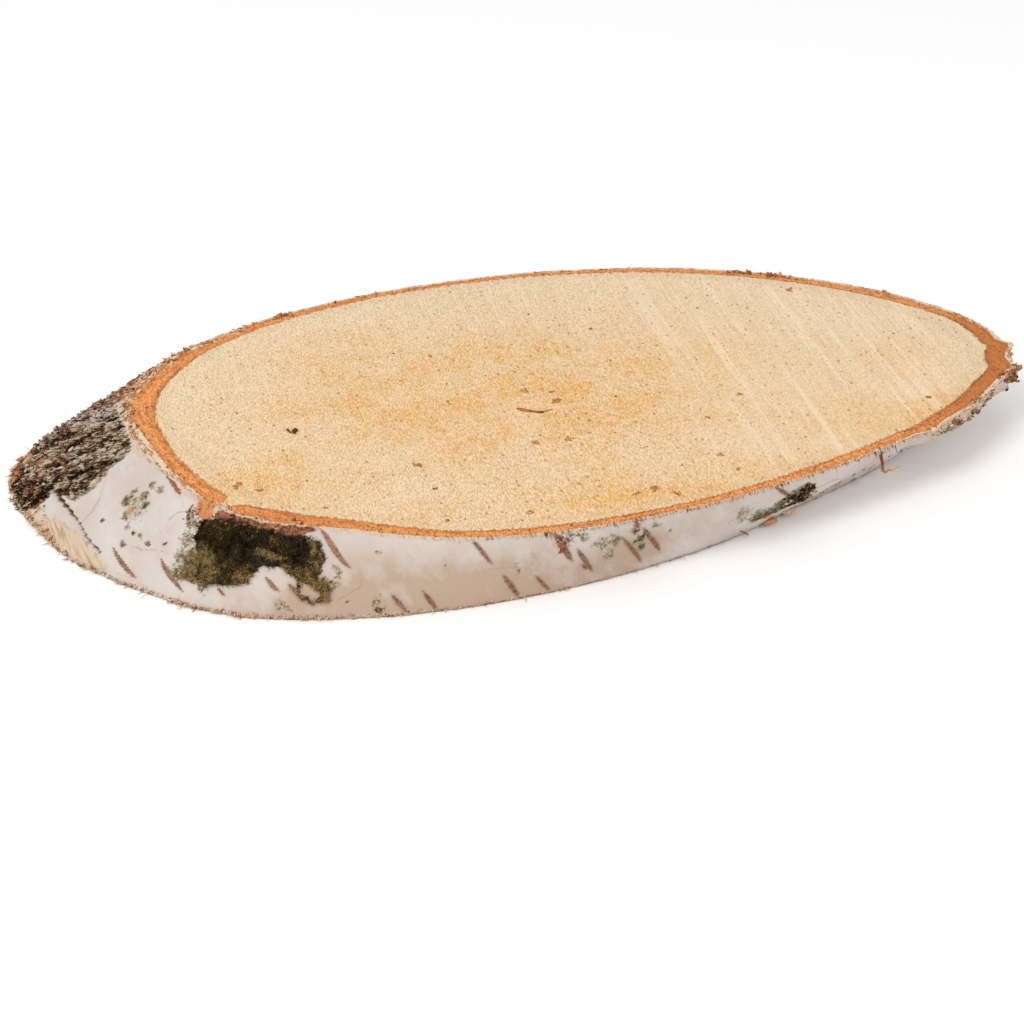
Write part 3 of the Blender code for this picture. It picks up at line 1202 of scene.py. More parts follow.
        Stroke(((-150, 0.8), (-141, 1.4), (-136, 1)), (0.2, 0.25, 0.2), 0.4),
        Stroke(((-76, 11.5), (-74.6, 12.8), (-71.5, 12.6)), (0.2, 0.3, 0.2), 0.5),
    ),
    "crust": (
        Outline(((146, 9), (150, 12), (153.5, 14.4), (160, 15.6), (165, 16.6), (171, 17.2), (-179.3, 17),
            (-175.4, 16), (-174.6, 14), (-173.3, 12.4), (-172.2, 10.4), (-171.3, 8.6), (-172.6, 6.8),
            (-176.8, 6), (-179.6, 5.8), (-177.4, 3.4), (-178.8, 0.8), (176, -1.5), (146, -1.5),
            (144, 4)), 1.1),
        Outline(((-66.6, 10.4), (-67.6, 13), (-66.2, 14.2), (-63.4, 12.8), (-60.4, 9.4), (-59.6, 7),
            (-61.6, 6.2), (-64.4, 8)), 0.6),
    ),
    "crust_dark": (
        Outline(((166, 0), (167.8, 3.4), (174, 5.8), (-179, 6.2), (-177.6, 4), (-179, 0.4)), 1.8, 0.85),
        Stroke(((170.6, 9.8), (169.2, 12.6), (167.6, 15.4), (168.6, 17)), (1.4, 2.4, 2.2, 1.2)),
        Stroke(((179.4, 6.8), (-178.8, 9.6), (-177.4, 12.4), (-174.2, 14.8)), (1, 1.8, 1.6, 1.8)),
        Stroke(((167.6, 1.2), (169.2, 4), (171.3, 6.5), (173.8, 8.8)), (2, 1.6, 1.2, 1)),
        Stroke(((162.4, 7.6), (163.6, 10.4), (163.8, 13.2)), (2.4, 2, 1)),
        Outline(((-66.4, 11), (-66.6, 13.2), (-63.6, 12.2), (-60.8, 8.8), (-62, 7.2)), 0.8, 0.7),
    ),
    "crust_white": (
        Outline(((154, 9), (154, 12.6), (159, 16.2), (168, 17.6), (174, 17.4), (170, 15), (166, 13.6),
            (160.4, 10.4)), 1.6, 0.8), Patch(177.2, 6.4, 2, 1.4, 0.7), Patch(178.4, 10.8, 2.2, 1.6, 0.5),
        Patch(-177.4, 14.6, 2.2, 1.4, 0.5),
    ),
    "crust_red": (
        Patch(166, 1.5, 7, 2.6, 1), Patch(176, 3.6, 3.4, 3, 0.7), Patch(156, 5, 4, 3.4, 0.8),
        Patch(154, 13, 4, 3, 0.9),
    ),
}


LAID_BENT = ("lichen", "moss", "moss_pale", "stain", "rust", "peel", "crust_dark", "crust_white", "crust_red")
BENDS = (                         # how much the angles of the others bend, and whether their heights do
    ("lenticel", 0.12, "straight"), ("dark_slit", 0.2, "straight"), ("crack", 0.25, "straight"),
    ("crease", 0.6, "bent"), ("crust", 1.6, "bent"),
)


@dataclass
class BarkWall:
    """The slanting bark all round the slice, with its crust, slits and lichen."""

    skin: TrunkSkin
    material: bpy.types.Material
    grit: Grit = field(default_factory=lambda: Grit(11))
    rows: int = 64
    columns_by_sector: tuple[tuple[float, float, int], ...] = (
        (-150.0, -30.0, 690), (-30.0, 30.0, 190), (30.0, 144.0, 260), (144.0, 210.0, 390))
    folds: int = 5
    hidden_slits: int = 46
    crust_turn: float = 23.0      # degrees between the crust's ridges and the trunk's length
    knob: Patch = Patch(-173.2, 1.9, 1.8, 2.0)
    knot_swelling: Patch = Patch(-64.0, 10.4, 2.6, 3.2)
    torn_end: Outline = Outline(((-50.0, 18.6), (-6.0, 18.6), (-8.0, 13.0), (-28.0, 9.0), (-42.0, 11.0)), 2.6)

    def __post_init__(self) -> None:
        """Work out every point of the wall and what lies on it."""
        sectors = [np.linspace(*sector, endpoint=False) for sector in self.columns_by_sector]
        self.angles = np.concatenate(sectors)
        self.angle, self.height = np.meshgrid(self.angles, np.linspace(0.0, self.skin.thickness, self.rows))
        self.log = self.skin.log_place(self.angle, self.height)
        self.marks = self.find_marks()
        self.rise = self.find_rise()
        self.places = self.skin.place(self.angle, self.height, self.rise)
        round_way = np.roll(self.places, -1, axis=1) - np.roll(self.places, 1, axis=1)
        self.normals = unit(np.cross(round_way, np.gradient(self.places, axis=0)))

    def cover(self, features: tuple[Feature, ...], angle: Array, height: Array) -> Array:
        """Return the strongest cover of several features at some angles and heights."""
        return np.max([feature.cover(self.skin, angle, height) for feature in features], axis=0)

    def rim(self, row: int, angles: Array, inset_mm: float) -> tuple[Array, Array]:
        """Find places along one rim.

        Args:
            row: The wall's lowest row, 0, or its highest, -1.
            angles: Angles round the trunk.
            inset_mm: How far inside the bark's own edge.

        Returns:
            The places, and the outward way at each.
        """
        order = np.argsort(self.angles % 360.0)
        known, rises = (self.angles % 360.0)[order], self.rise[row][order]
        rise = np.interp(angles % 360.0, known, rises, period=360.0)
        level = np.full(angles.shape, 0.0 if row == 0 else self.skin.thickness)
        return self.skin.place(angles, level, rise - inset_mm * MM), self.skin.outward(angles)

    def guessed_slits(self) -> tuple[Stroke, ...]:
        """Make lenticels for the hidden sides.

        Returns:
            Slits from seeded numbers, square to the trunk's length.
        """
        rng = np.random.default_rng(5)
        found = []
        for _ in range(self.hidden_slits):
            start, length = rng.uniform(-44.0, 140.0), rng.uniform(3.0, 9.0)
            level = rng.uniform(1.0, 16.5)
            lean = sin(radians(start)) * 66.0 * pi / 180.0 * sin(self.skin.lean)
            found.append(slit(start, level, start + length, level + lean * length, rng.uniform(0.7, 1.4)))
        return tuple(found)

    def crust_height(self) -> Array:
        """Make the crust's ridges, fissures and crumbs.

        Returns:
            How high each point of the wall is in them, from 0 to 1.
        """
        place = self.skin.sheet(self.angle, self.height, 180.0) * MM
        turn = radians(self.crust_turn)
        across = place[..., 0] * cos(turn) + place[..., 1] * sin(turn)
        along = place[..., 1] * cos(turn) - place[..., 0] * sin(turn)
        ridges = np.stack([across, along, np.zeros_like(along)], axis=-1)
        bend = np.stack([self.grit.rough(ridges + 0.1 * way, 5.0 * MM) for way in (1, 2, 3)], -1)
        wavy = ridges + 0.9 * MM * bend
        gap, tone = self.grit.plates(wavy, (1.7 * MM, 5.2 * MM, 1.0))
        fine_gap, fine_tone = self.grit.plates(wavy + 0.05, (0.9 * MM, 1.3 * MM, 1.0))
        deep = smooth_step(self.grit.lumps(ridges + 0.3, (3.4 * MM, 9.0 * MM, 1.0)), -0.45, 0.35)
        fissure = 1.0 - (1.0 - smooth_step(gap, 0.03, 0.34)) * (0.3 + 0.7 * deep)
        crumb = smooth_step(fine_gap, 0.0, 0.35) * (0.25 + 0.75 * fine_tone)
        return np.clip(0.55 * fissure * (0.55 + 0.45 * tone) + 0.45 * crumb, 0.0, 1.0)

    def find_marks(self) -> dict[str, Array]:
        """Lay everything drawn on the bark.

        Returns:
            The cover of each kind of thing at each point of the wall, and the place on the upright trunk.
        """
        angle, height = self.angle, self.height
        warp = 0.8 * self.grit.rough(self.log, 3.0 * MM)
        level = height + 0.5 * MM * self.grit.rough(self.log + 0.2, 2.4 * MM)
        marks = {name: self.cover(DRAWN[name], angle + warp, level) for name in LAID_BENT}
        marks["log_place"] = self.log
        for name, bend, heights in BENDS:
            features = DRAWN[name] + (self.guessed_slits() if name == "lenticel" else ())
            marks[name] = self.cover(features, angle + bend * warp, level if heights == "bent" else height)
        middle_front = smooth_step(np.abs(turn_from(angle, -100.0)), 30.0, 12.0)
        marks["beige"] = 0.25 + 0.75 * middle_front * smooth_step(height / MM, 17.0, 6.0)
        front = smooth_step(np.abs(turn_from(angle, -92.0)), 66.0, 56.0)
        top_edge = smooth_step(level, self.skin.thickness - 1.1 * MM, self.skin.thickness - 0.3 * MM)
        marks["peel"] = np.maximum(marks["peel"], 0.85 * front * top_edge)
        # The stain band along the foot is partly the warm tint of torn fibres and partly a painted shadow
        # line where the slice meets the floor.
        marks["stain"] = np.maximum(marks["stain"], 0.62 * smooth_step(level, 0.40 * MM, 0.05 * MM))
        marks["crust"] *= 1.0 - 0.9 * smooth_step(marks["rust"], 0.5, 0.9)
        marks["crust_height"] = self.crust_height()
        clear = 1.0 - np.maximum(smooth_step(marks["crust"], 0.3, 0.7), smooth_step(marks["moss"], 0.2, 0.5))
        for name in ("lenticel", "peel"):
            marks[name] = marks[name] * clear
        return marks

    def find_rise(self) -> Array:
        """Raise what grows on the bark and sink what is cut into it.

        Returns:
            How far each point of the wall stands off the plain trunk, square to it, in metres.
        """
        log, marks, rough = self.log, self.marks, self.grit.rough
        crust, moss = smooth_step(marks["crust"], 0.25, 0.75), smooth_step(marks["moss"], 0.3, 0.8)
        rise = 0.22 * rough(log, 9.0 * MM) + 0.05 * rough(log, (2.0 * MM, 2.0 * MM, 0.9 * MM))
        corky = marks["lenticel"]
        rise += 0.16 * smooth_step(corky, 0.05, 0.45) - 0.24 * smooth_step(corky, 0.5, 1.0)
        rise -= 0.5 * smooth_step(marks["dark_slit"], 0.2, 0.9)
        rough_crust = 0.85 * rough(log, 5.0 * MM) + 0.5 * rough(log, 1.6 * MM) + 0.3 * rough(log, 0.8 * MM)
        rise += crust * (1.5 * marks["crust_height"] - 0.5 - 0.5 * marks["crust_dark"] + rough_crust)
        rise += moss * (0.5 + 0.8 * rough(log, 3.2 * MM) + 0.5 * rough(log + 0.3, 1.1 * MM))
        growth = smooth_step(marks["lichen"], 0.45, 0.8) * (1.0 - crust)
        rise += growth * 0.26 * (rough(log, 0.9 * MM) + 0.5)
        rise -= 0.9 * smooth_step(marks["crack"], 0.35, 0.8) + 0.12 * marks["crease"]
        peel = smooth_step(marks["peel"], 0.35, 0.6)
        rise += peel * (0.16 + 0.30 * rough(log, (6.0 * MM, 6.0 * MM, 0.8 * MM)))
        knob, end, knot = (
            self.cover((feature,), self.angle, self.height)
            for feature in (self.knob, self.torn_end, self.knot_swelling))
        rise += knob * (1.3 + 0.7 * rough(log, 1.5 * MM))
        rise += end * (1.7 + 1.0 * rough(log + 0.6, 3.4 * MM) + 0.7 * rough(log + 0.2, 1.3 * MM))
        rise += 0.6 * knot
        torn = smooth_step(np.minimum(self.height, self.skin.thickness - self.height) / MM, 0.9, 0.0)
        rise += torn * (0.34 * rough(log, 0.8 * MM) - 0.10)
        return rise * MM

    def build(self) -> None:
        """Make the wall's mesh and dress it."""
        marks = {name: values.reshape(-1, 3) if name == "log_place" else values.ravel()
                 for name, values in self.marks.items()}
        faces, bake_map = grid_faces(*self.angle.shape), folded_map(*self.angle.shape, self.folds)
        piece = make_piece("bark_wall", self.places.reshape(-1, 3), faces, marks, bake_map)
        settle(piece, self.material)


# ---- The sawn faces ---------------------------------------


@dataclass(frozen=True)
class Blot:
    """A soft round mark on a sawn face; sizes in millimetres."""

    x_mm: float
    y_mm: float
    half_x_mm: float
    half_y_mm: float
    strength: float = 1.0

    def cover(self, x: Array, y: Array) -> Array:
        """Return the mark's strength at each point."""
        reach = ((x / MM - self.x_mm) / self.half_x_mm) ** 2 + ((y / MM - self.y_mm) / self.half_y_mm) ** 2
        return self.strength * np.exp(-reach)


def steps_at(steps: tuple[tuple[float, float], ...], angle: Array) -> Array:
    """Return a value in metres that follows steps round the trunk, each an angle and millimetres."""
    given = np.array(steps)
    return np.interp((angle + 180.0) % 360.0 - 180.0, given[:, 0], given[:, 1]) * MM


@dataclass
class SawnFace:
    """One sawn face: a disc of wood inside a ring of cut bark."""

    wall: BarkWall
    side: Side
    wood_material: bpy.types.Material
    ring_material: bpy.types.Material
    disc_rows: int = 96
    disc_columns: int = 480
    ring_rows: int = 20
    ring_folds: int = 8
    ring_reach_mm: float = 6.4
    tooth_mm: float = 0.42        # how far the saw smeared the bark over the wood
    tooth_gap_mm: float = 1.45
    grit: Grit = field(default_factory=lambda: Grit(23))
    hearts: tuple[Blot, ...] = (
        Blot(4, -4, 52, 38, 0.85), Blot(-74, -32, 24, 15, 0.65), Blot(10, -58, 62, 11, 0.62),
        Blot(92, -36, 28, 10, 0.65), Blot(-45, 34, 22, 12, 0.3), Blot(98, -8, 16, 12, 0.35),
        Blot(-52, 4, 30, 20, 0.3),
    )
    depth_steps: tuple[tuple[float, float], ...] = (      # the inner bark, in millimetres by angle
        (-180, 4), (-168, 3.3), (-152, 3.2), (-146, 3.3), (-144.5, 2.9), (-143.5, 1.3), (-143.1, 0.1),
        (-141.4, 0.1), (-140.8, 1.7), (-139.3, 3.2), (-133, 4.1), (-127, 3.5), (-119, 3), (-112, 2.9),
        (-105, 2.8), (-95, 2.7), (-75, 2.6), (-62, 2.9), (-40, 3.6), (-25, 4), (-15, 3.9), (-2, 3.1),
        (10, 2.6), (25, 3.2), (50, 3.2), (80, 2.9), (110, 3), (135, 3.8), (150, 4.7), (165, 4.6), (180, 4),
    )
    paper_steps: tuple[tuple[float, float], ...] = (      # the papery layers outside it
        (-180, 1.6), (-165, 1.1), (-150, 0.8), (-144, 0), (-138, 0.2), (-125, 0.2), (-60, 0.4), (-42, 0.9),
        (-20, 0.8), (-5, 0.6), (30, 0.7), (90, 0.6), (130, 0.5), (150, 0.4), (163, 1), (180, 1.6),
    )

    @property
    def skin(self) -> TrunkSkin:
        """Return the trunk's skin."""
        return self.wall.skin

    @property
    def level(self) -> float:
        """Return the face's height."""
        return self.skin.thickness if self.side is Side.UPPER else 0.0

    @property
    def up(self) -> float:
        """Return 1 where the face looks up and -1 where it looks down."""
        return 1.0 if self.side is Side.UPPER else -1.0

    def face_marks(self, places: Array) -> dict[str, Array]:
        """Lay the heart stain and the saw's marks.

        Args:
            places: Points of the face.

        Returns:
            How strong each is at each point.
        """
        x, y = places[..., 0], places[..., 1] * self.up
        return {
            "heart": np.clip(sum(blot.cover(x, y) for blot in self.hearts), 0.0, 1.0).ravel(),
            "saw": (0.25 + 0.45 * smooth_step(0.5 * x / MM + y / MM, 10.0, 45.0)).ravel(),
            "sweep": smooth_step(x / MM, 25.0, 60.0).ravel(),
        }

    def saw_teeth(self, places: Array) -> Array:
        """Make the regular smear that the saw's teeth left along its way.

        Args:
            places: Points of the ring.

        Returns:
            The smear, from about -1 to 1.
        """
        x = places[..., 0]
        plan = np.stack([x, places[..., 1] * 0.1, np.zeros_like(x)], axis=-1)
        wobble = 1.6 * self.grit.lumps(plan, 7.0 * MM)
        teeth = np.sin(2.0 * pi * x / (self.tooth_gap_mm * MM) + wobble)
        return 0.6 * teeth + 0.6 * self.grit.rough(plan, 1.1 * MM)

    def wood_relief(self, x: Array, y: Array) -> Array:
        """Make the faint waves that the saw left.

        Args:
            x: Places along the slice.
            y: Places across it.

        Returns:
            The waves' height at each, in metres.
        """
        plan = np.stack([x, y, np.zeros_like(x)], axis=-1)
        streaks = self.grit.lumps(plan, (3.0 * MM, 90.0 * MM, 1.0))
        return (0.05 * streaks + 0.04 * self.grit.rough(plan, 9.0 * MM)) * MM

    def lay_down(self, name: str, places: Array, marks: dict[str, Array], folds: int) -> bpy.types.Object:
        """Make a grid of points into a piece of the face that looks the right way.

        Args:
            name: The piece's name after the side's.
            places: The points, by row and column; the disc's rows run outwards and the ring's inwards.
            marks: What else is stored on them.
            folds: Strips on the texture map, or 0 to lay its halves over each other.

        Returns:
            The piece.
        """
        rows, columns = places.shape[:2]
        faces = grid_faces(rows, columns)
        bake_map = folded_map(rows, columns, folds) if folds else None
        lower = self.side is Side.LOWER
        if lower:
            places[..., 2] = np.maximum(places[..., 2], 0.0)
        if lower == bool(folds):
            faces = faces[:, ::-1]
        flat = places.reshape(-1, 3)
        if bake_map is None:
            bake_map = self.halved_map(flat, faces)
        elif lower:
            bake_map = bake_map.reshape(-1, 4, 2)[:, ::-1].reshape(-1, 2)
        return make_piece(f"{self.side.value}_{name}", flat, faces, self.face_marks(places) | marks, bake_map)

    def build_disc(self) -> None:
        """Make the disc of wood."""
        angles = np.arange(self.disc_columns) * 360.0 / self.disc_columns
        angle, share = np.meshgrid(angles, np.linspace(0.0, 1.0, self.disc_rows) ** 0.8)
        edge = self.skin.place(angle, np.full(angle.shape, self.level), -self.ring_reach_mm * MM)
        middle = self.skin.middle(self.level)
        x, y = (middle[axis] + (edge[..., axis] - middle[axis]) * share for axis in (0, 1))
        height = self.level + self.up * self.wood_relief(x, y) * smooth_step(share, 1.0, 0.97)
        piece = self.lay_down("sawn_face", np.stack([x, y, height], axis=-1), {}, 0)
        settle(piece, self.wood_material)

    @staticmethod
    def halved_map(places: Array, faces: Array) -> Array:
        """Lay the face's left half over its right half on the texture map.

        Args:
            places: The points.
            faces: The faces.

        Returns:
            A place on the map for every face corner.
        """
        corner = places[faces.ravel()].reshape(*faces.shape, 3)
        low, high = places.min(axis=0), places.max(axis=0)
        middle = (low[0] + high[0]) / 2.0
        left = corner[..., 0].mean(axis=1) < middle
        overlap = 3.0 * MM
        start = np.where(left, low[0] - overlap, middle - overlap)[:, None]
        across = (corner[..., 0] - start) / (high[0] - middle + 2.0 * overlap)
        up = (corner[..., 1] - low[1] + overlap) / (high[1] - low[1] + 2.0 * overlap)
        return np.stack([across, (up + left[:, None]) / 2.0], axis=-1).reshape(-1, 2)

    def build_ring(self) -> None:
        """Make the ring of cut bark, which meets the wall at the rim."""
        rim_rise = self.wall.rise[0 if self.side is Side.LOWER else -1]
        angle, share = np.meshgrid(self.wall.angles, np.linspace(0.0, 1.0, self.ring_rows) ** 1.15)
        depth = share * self.ring_reach_mm * MM
        rise = rim_rise[None, :] * (1.0 - share) - depth
        places = self.skin.place(angle, np.full(angle.shape, self.level), rise)
        turn = np.radians(angle)
        rim_place = np.stack([self.skin.girth * np.cos(turn), self.skin.girth * np.sin(turn), depth], axis=-1)
        back = 1.0 + 0.8 * smooth_step(np.sin(turn), 0.3, 0.7)
        teeth = self.tooth_mm * MM * np.abs(np.sin(turn)) ** 3 * back * self.saw_teeth(places)
        bark_depth = steps_at(self.depth_steps, angle) + teeth
        paper_depth = steps_at(self.paper_steps, angle)
        wander = 0.22 * MM * self.grit.rough(places, 2.6 * MM)
        ring = np.clip(0.5 + (bark_depth + wander - depth) / (1.3 * MM), 0.0, 1.0)
        paper = np.clip(0.5 + (paper_depth + wander - depth) / (0.8 * MM), 0.0, 1.0)
        paper = paper * smooth_step(paper_depth, 0.0, 0.2 * MM)
        dark = 0.9 * smooth_step(np.abs(turn_from(angle, -16.0)), 36.0, 18.0)
        dark = np.maximum(dark, 0.3 * smooth_step(np.abs(turn_from(angle, -132.0)), 12.0, 5.0))
        line = np.exp(-(((depth - bark_depth + 0.25 * MM) / (0.32 * MM)) ** 2))
        line = np.maximum(line, 0.9 * np.exp(-(((depth - paper_depth) / (0.3 * MM)) ** 2)))
        relief = smooth_step(ring, 0.3, 0.7) * (0.14 * self.grit.rough(places, 0.8 * MM) - 0.12)
        relief += paper * 0.12 * np.sin(depth / MM * 9.0 + 3.0 * self.grit.lumps(rim_place, 9.0 * MM))
        relief -= 0.16 * smooth_step(depth, 0.7 * MM, 0.0)
        relief = relief * smooth_step(share, 0.0, 0.06)
        waves = self.wood_relief(places[..., 0], places[..., 1])
        waves = waves * smooth_step(share, 0.0, 0.5) * (1.0 - smooth_step(share, 0.85, 1.0))
        places[..., 2] += self.up * (relief * MM + waves)
        marks = {
            "ring": ring.ravel(), "paper": paper.ravel(), "ring_dark": dark.ravel(),
            "ring_line": line.ravel(), "rim_place": rim_place.reshape(-1, 3)}
        piece = self.lay_down("bark_ring", places, marks, self.ring_folds)
        settle(piece, self.ring_material)


# ---- Small growth and breakage ----------------------------


Shape = tuple[Array, Array]       # points, and three-cornered faces


def repeated(faces: list[tuple[int, ...]], count: int, per_bit: int) -> Array:
    """Return the faces of many bits from the faces of one."""
    return (np.array(faces)[None] + (np.arange(count) * per_bit)[:, None, None]).reshape(-1, 3)


def strands(
    roots: Array, ways: Array, bends: Array, lengths: Array, widths: Array, joints: int = 3, sides: int = 3
) -> Shape:
    """Make closed tapering strands.

    Args:
        roots: Where each strand starts.
        ways: Which way each sets off.
        bends: A sideways pull, as a share of the length, that grows towards the tip.
        lengths: How long each is.
        widths: How thick each is at its root.
        joints: Rings of points along a strand, before its tip.
        sides: Points in a ring.

    Returns:
        Their points and faces.
    """
    ways = unit(ways)
    side = unit(np.cross(ways, np.array([0.31, 0.52, 0.79])))
    other = np.cross(ways, side)
    last = (joints - 1) * sides
    tip = last + sides
    points = np.zeros((len(roots), tip + 1, 3))
    faces = [(0, corner + 1, corner) for corner in range(1, sides - 1)]
    faces += [(last + corner, last + (corner + 1) % sides, tip) for corner in range(sides)]
    for joint in range(joints):
        share = joint / joints
        middle = roots + lengths[:, None] * (ways * share + bends * share**2)
        width = 0.5 * widths * (1.0 - 0.75 * share)
        for corner in range(sides):
            turn = 2.0 * pi * corner / sides
            here, after = joint * sides + corner, joint * sides + (corner + 1) % sides
            points[:, here] = middle + width[:, None] * (side * cos(turn) + other * sin(turn))
            if joint < joints - 1:
                faces += [(here, after, after + sides), (here, after + sides, here + sides)]
    points[:, -1] = roots + lengths[:, None] * (ways + bends)
    return points.reshape(-1, 3), repeated(faces, len(roots), tip + 1)


def chips(middles: Array, ways: Array, lengths: Array, widths: Array, thicks: Array, outs: Array,
          rng: np.random.Generator) -> Shape:
    """Make closed flat chips with ragged outlines.

    Args:
        middles: The chips' middles.
        ways: Each chip's long way.
        lengths: Sizes along the long way.
        widths: Sizes across it.
        thicks: Thicknesses.
        outs: Each chip's upper side.
        rng: The seeded source of raggedness.

    Returns:
        Their points and faces.
    """
    corners = 8
    count = len(middles)
    ways = unit(ways)
    cross = unit(np.cross(outs, ways))
    upward = np.cross(ways, cross)
    ragged = rng.uniform(0.62, 1.0, (count, corners))
    lift = rng.normal(0.0, 0.35, (count, corners))
    points = np.zeros((count, corners + 2, 3))
    faces = []
    for corner in range(corners):
        turn = 2.0 * pi * corner / corners
        along = 0.5 * lengths * ragged[:, corner] * cos(turn)
        across = 0.5 * widths * ragged[:, corner] * sin(turn)
        up = thicks * lift[:, corner]
        points[:, corner] = middles + along[:, None] * ways + across[:, None] * cross + up[:, None] * upward
        after = (corner + 1) % corners
        faces += [(corner, after, corners), (after, corner, corners + 1)]
    points[:, corners] = middles + (thicks * 0.7)[:, None] * upward
    points[:, corners + 1] = middles - (thicks * 0.7)[:, None] * upward
    return points.reshape(-1, 3), repeated(faces, count, corners + 2)


def tube(spots: Array, widths: Array, sides: int = 6) -> Shape:
    """Make one closed round string.

    Args:
        spots: The places it passes near.
        widths: How thick it is at each.
        sides: Points round it.

    Returns:
        Its points and faces.
    """
    rings = 8 * len(spots)
    share, known = np.linspace(0.0, len(spots) - 1.0, rings), np.arange(len(spots))
    line = np.stack([np.interp(share, known, spots[:, axis]) for axis in range(3)], axis=-1)
    for _ in range(10):
        line[1:-1] = 0.25 * line[:-2] + 0.5 * line[1:-1] + 0.25 * line[2:]
    width = np.interp(share, known, widths)
    ways = unit(np.gradient(line, axis=0))
    side = unit(np.cross(ways, np.array([0.3, 0.9, 0.2])))
    other = np.cross(ways, side)
    turn = 2.0 * pi * np.arange(sides) / sides
    ring = side[:, None] * np.cos(turn)[None, :, None] + 0.5 * other[:, None] * np.sin(turn)[None, :, None]
    points = (line[:, None] + 0.5 * width[:, None, None] * ring).reshape(-1, 3)
    quads = grid_faces(rings, sides)
    last = (rings - 1) * sides
    caps = [(0, step + 1, step) for step in range(1, sides - 1)]
    caps += [(last, last + step, last + step + 1) for step in range(1, sides - 1)]
    return points, np.concatenate([quads[:, :3], quads[:, [0, 2, 3]], np.array(caps)])


def joined(first: Shape, second: Shape) -> Shape:
    """Return two shapes as one."""
    return np.concatenate([first[0], second[0]]), np.concatenate([first[1], second[1] + len(first[0])])


@dataclass
class Growth:
    """Something small on the bark wall, made of many bits."""

    wall: BarkWall
    material: bpy.types.Material
    slot: Slot

    def on_wall(self, values: Array, picked: Array) -> Array:
        """Return the values of picked points of the wall."""
        return values.reshape(-1, *values.shape[2:])[picked]

    def make(self, name: str, shape: Shape, marks: dict[str, Array], ceiling_mm: float | None = None) -> None:
        """Make a piece that stays above the floor.

        Args:
            name: The piece's name.
            shape: Its points and faces.
            marks: Numbers to store on it, with one for each bit or each point.
            ceiling_mm: How far it may reach above the slice, if it ends there.
        """
        points, faces = shape
        ceiling = 1.0 if ceiling_mm is None else self.wall.skin.thickness + ceiling_mm * MM
        points[:, 2] = np.clip(points[:, 2], 0.05 * MM, ceiling)
        spread = {mark: np.repeat(values, len(points) // len(values)) for mark, values in marks.items()}
        settle(make_piece(name, points, faces, spread), self.material)


@dataclass
class MossPad(Growth):
    """Short moss over the branch scar, and its thinner olive skirt."""

    blades: int = 17000
    length_mm: tuple[float, float] = (0.25, 0.85)
    width_mm: float = 0.17

    def build(self) -> None:
        """Make the blades and dress them."""
        rng = np.random.default_rng(41)
        wall, grit, log = self.wall, self.wall.grit, self.wall.log
        cover = smooth_step(wall.marks["moss"] + 0.30 * grit.rough(log + 0.4, 1.4 * MM), 0.35, 0.85).ravel()
        picked = rng.choice(cover.size, self.blades, p=cover / cover.sum())
        normals = self.on_wall(wall.normals, picked)
        roots = self.on_wall(wall.places, picked) + rng.normal(0.0, 0.16 * MM, (self.blades, 3))
        ways = normals + rng.normal(0.0, 0.6, normals.shape) + np.array([0.0, 0.0, -0.25])
        lengths = rng.uniform(*self.length_mm, self.blades) * MM * (0.5 + 0.5 * cover[picked])
        bends = rng.normal(0.0, 0.4, normals.shape)
        widths = np.full(self.blades, self.width_mm * MM)
        points, faces = strands(roots - 0.1 * MM * normals, ways, bends, lengths, widths, joints=2)
        angle, level = self.on_wall(wall.angle, picked), self.on_wall(wall.height, picked) / MM
        low = smooth_step(level - 0.35 * turn_from(angle, -130.0), 10.5, 6.0)
        pale = self.on_wall(wall.marks["moss_pale"], picked)
        clump = self.on_wall(grit.rough(log, 1.3 * MM), picked)
        tuft = self.on_wall(grit.lumps(log + 0.7, 3.5 * MM), picked)
        grain = self.on_wall(grit.lumps(log + 0.9, 0.7 * MM), picked)
        tone = 0.10 + np.maximum(0.48 * low, 0.70 * pale) + 0.60 * clump + 0.28 * tuft
        tone = tone + (0.15 + 0.25 * low + 0.85 * pale) * grain
        tone += rng.normal(0.0, 0.12, self.blades)
        per_blade = len(points) // self.blades
        tone = np.repeat(tone, per_blade) + np.tile(np.linspace(-0.1, 0.25, per_blade), self.blades)
        fleck = 0.85 * (rng.random(self.blades) < 0.16 * pale)
        self.make("moss_pad", (points, faces), {"tone": np.clip(tone, 0.0, 1.3), "fleck": fleck}, 0.3)


@dataclass(frozen=True)
class FlakeField:
    """Loose flakes scattered over some features of the bark."""

    features: tuple[Feature, ...]
    count: int
    size_mm: float
    dark_share: float = 0.4
    pale_share: float = 0.3
    rust_share: float = 0.12


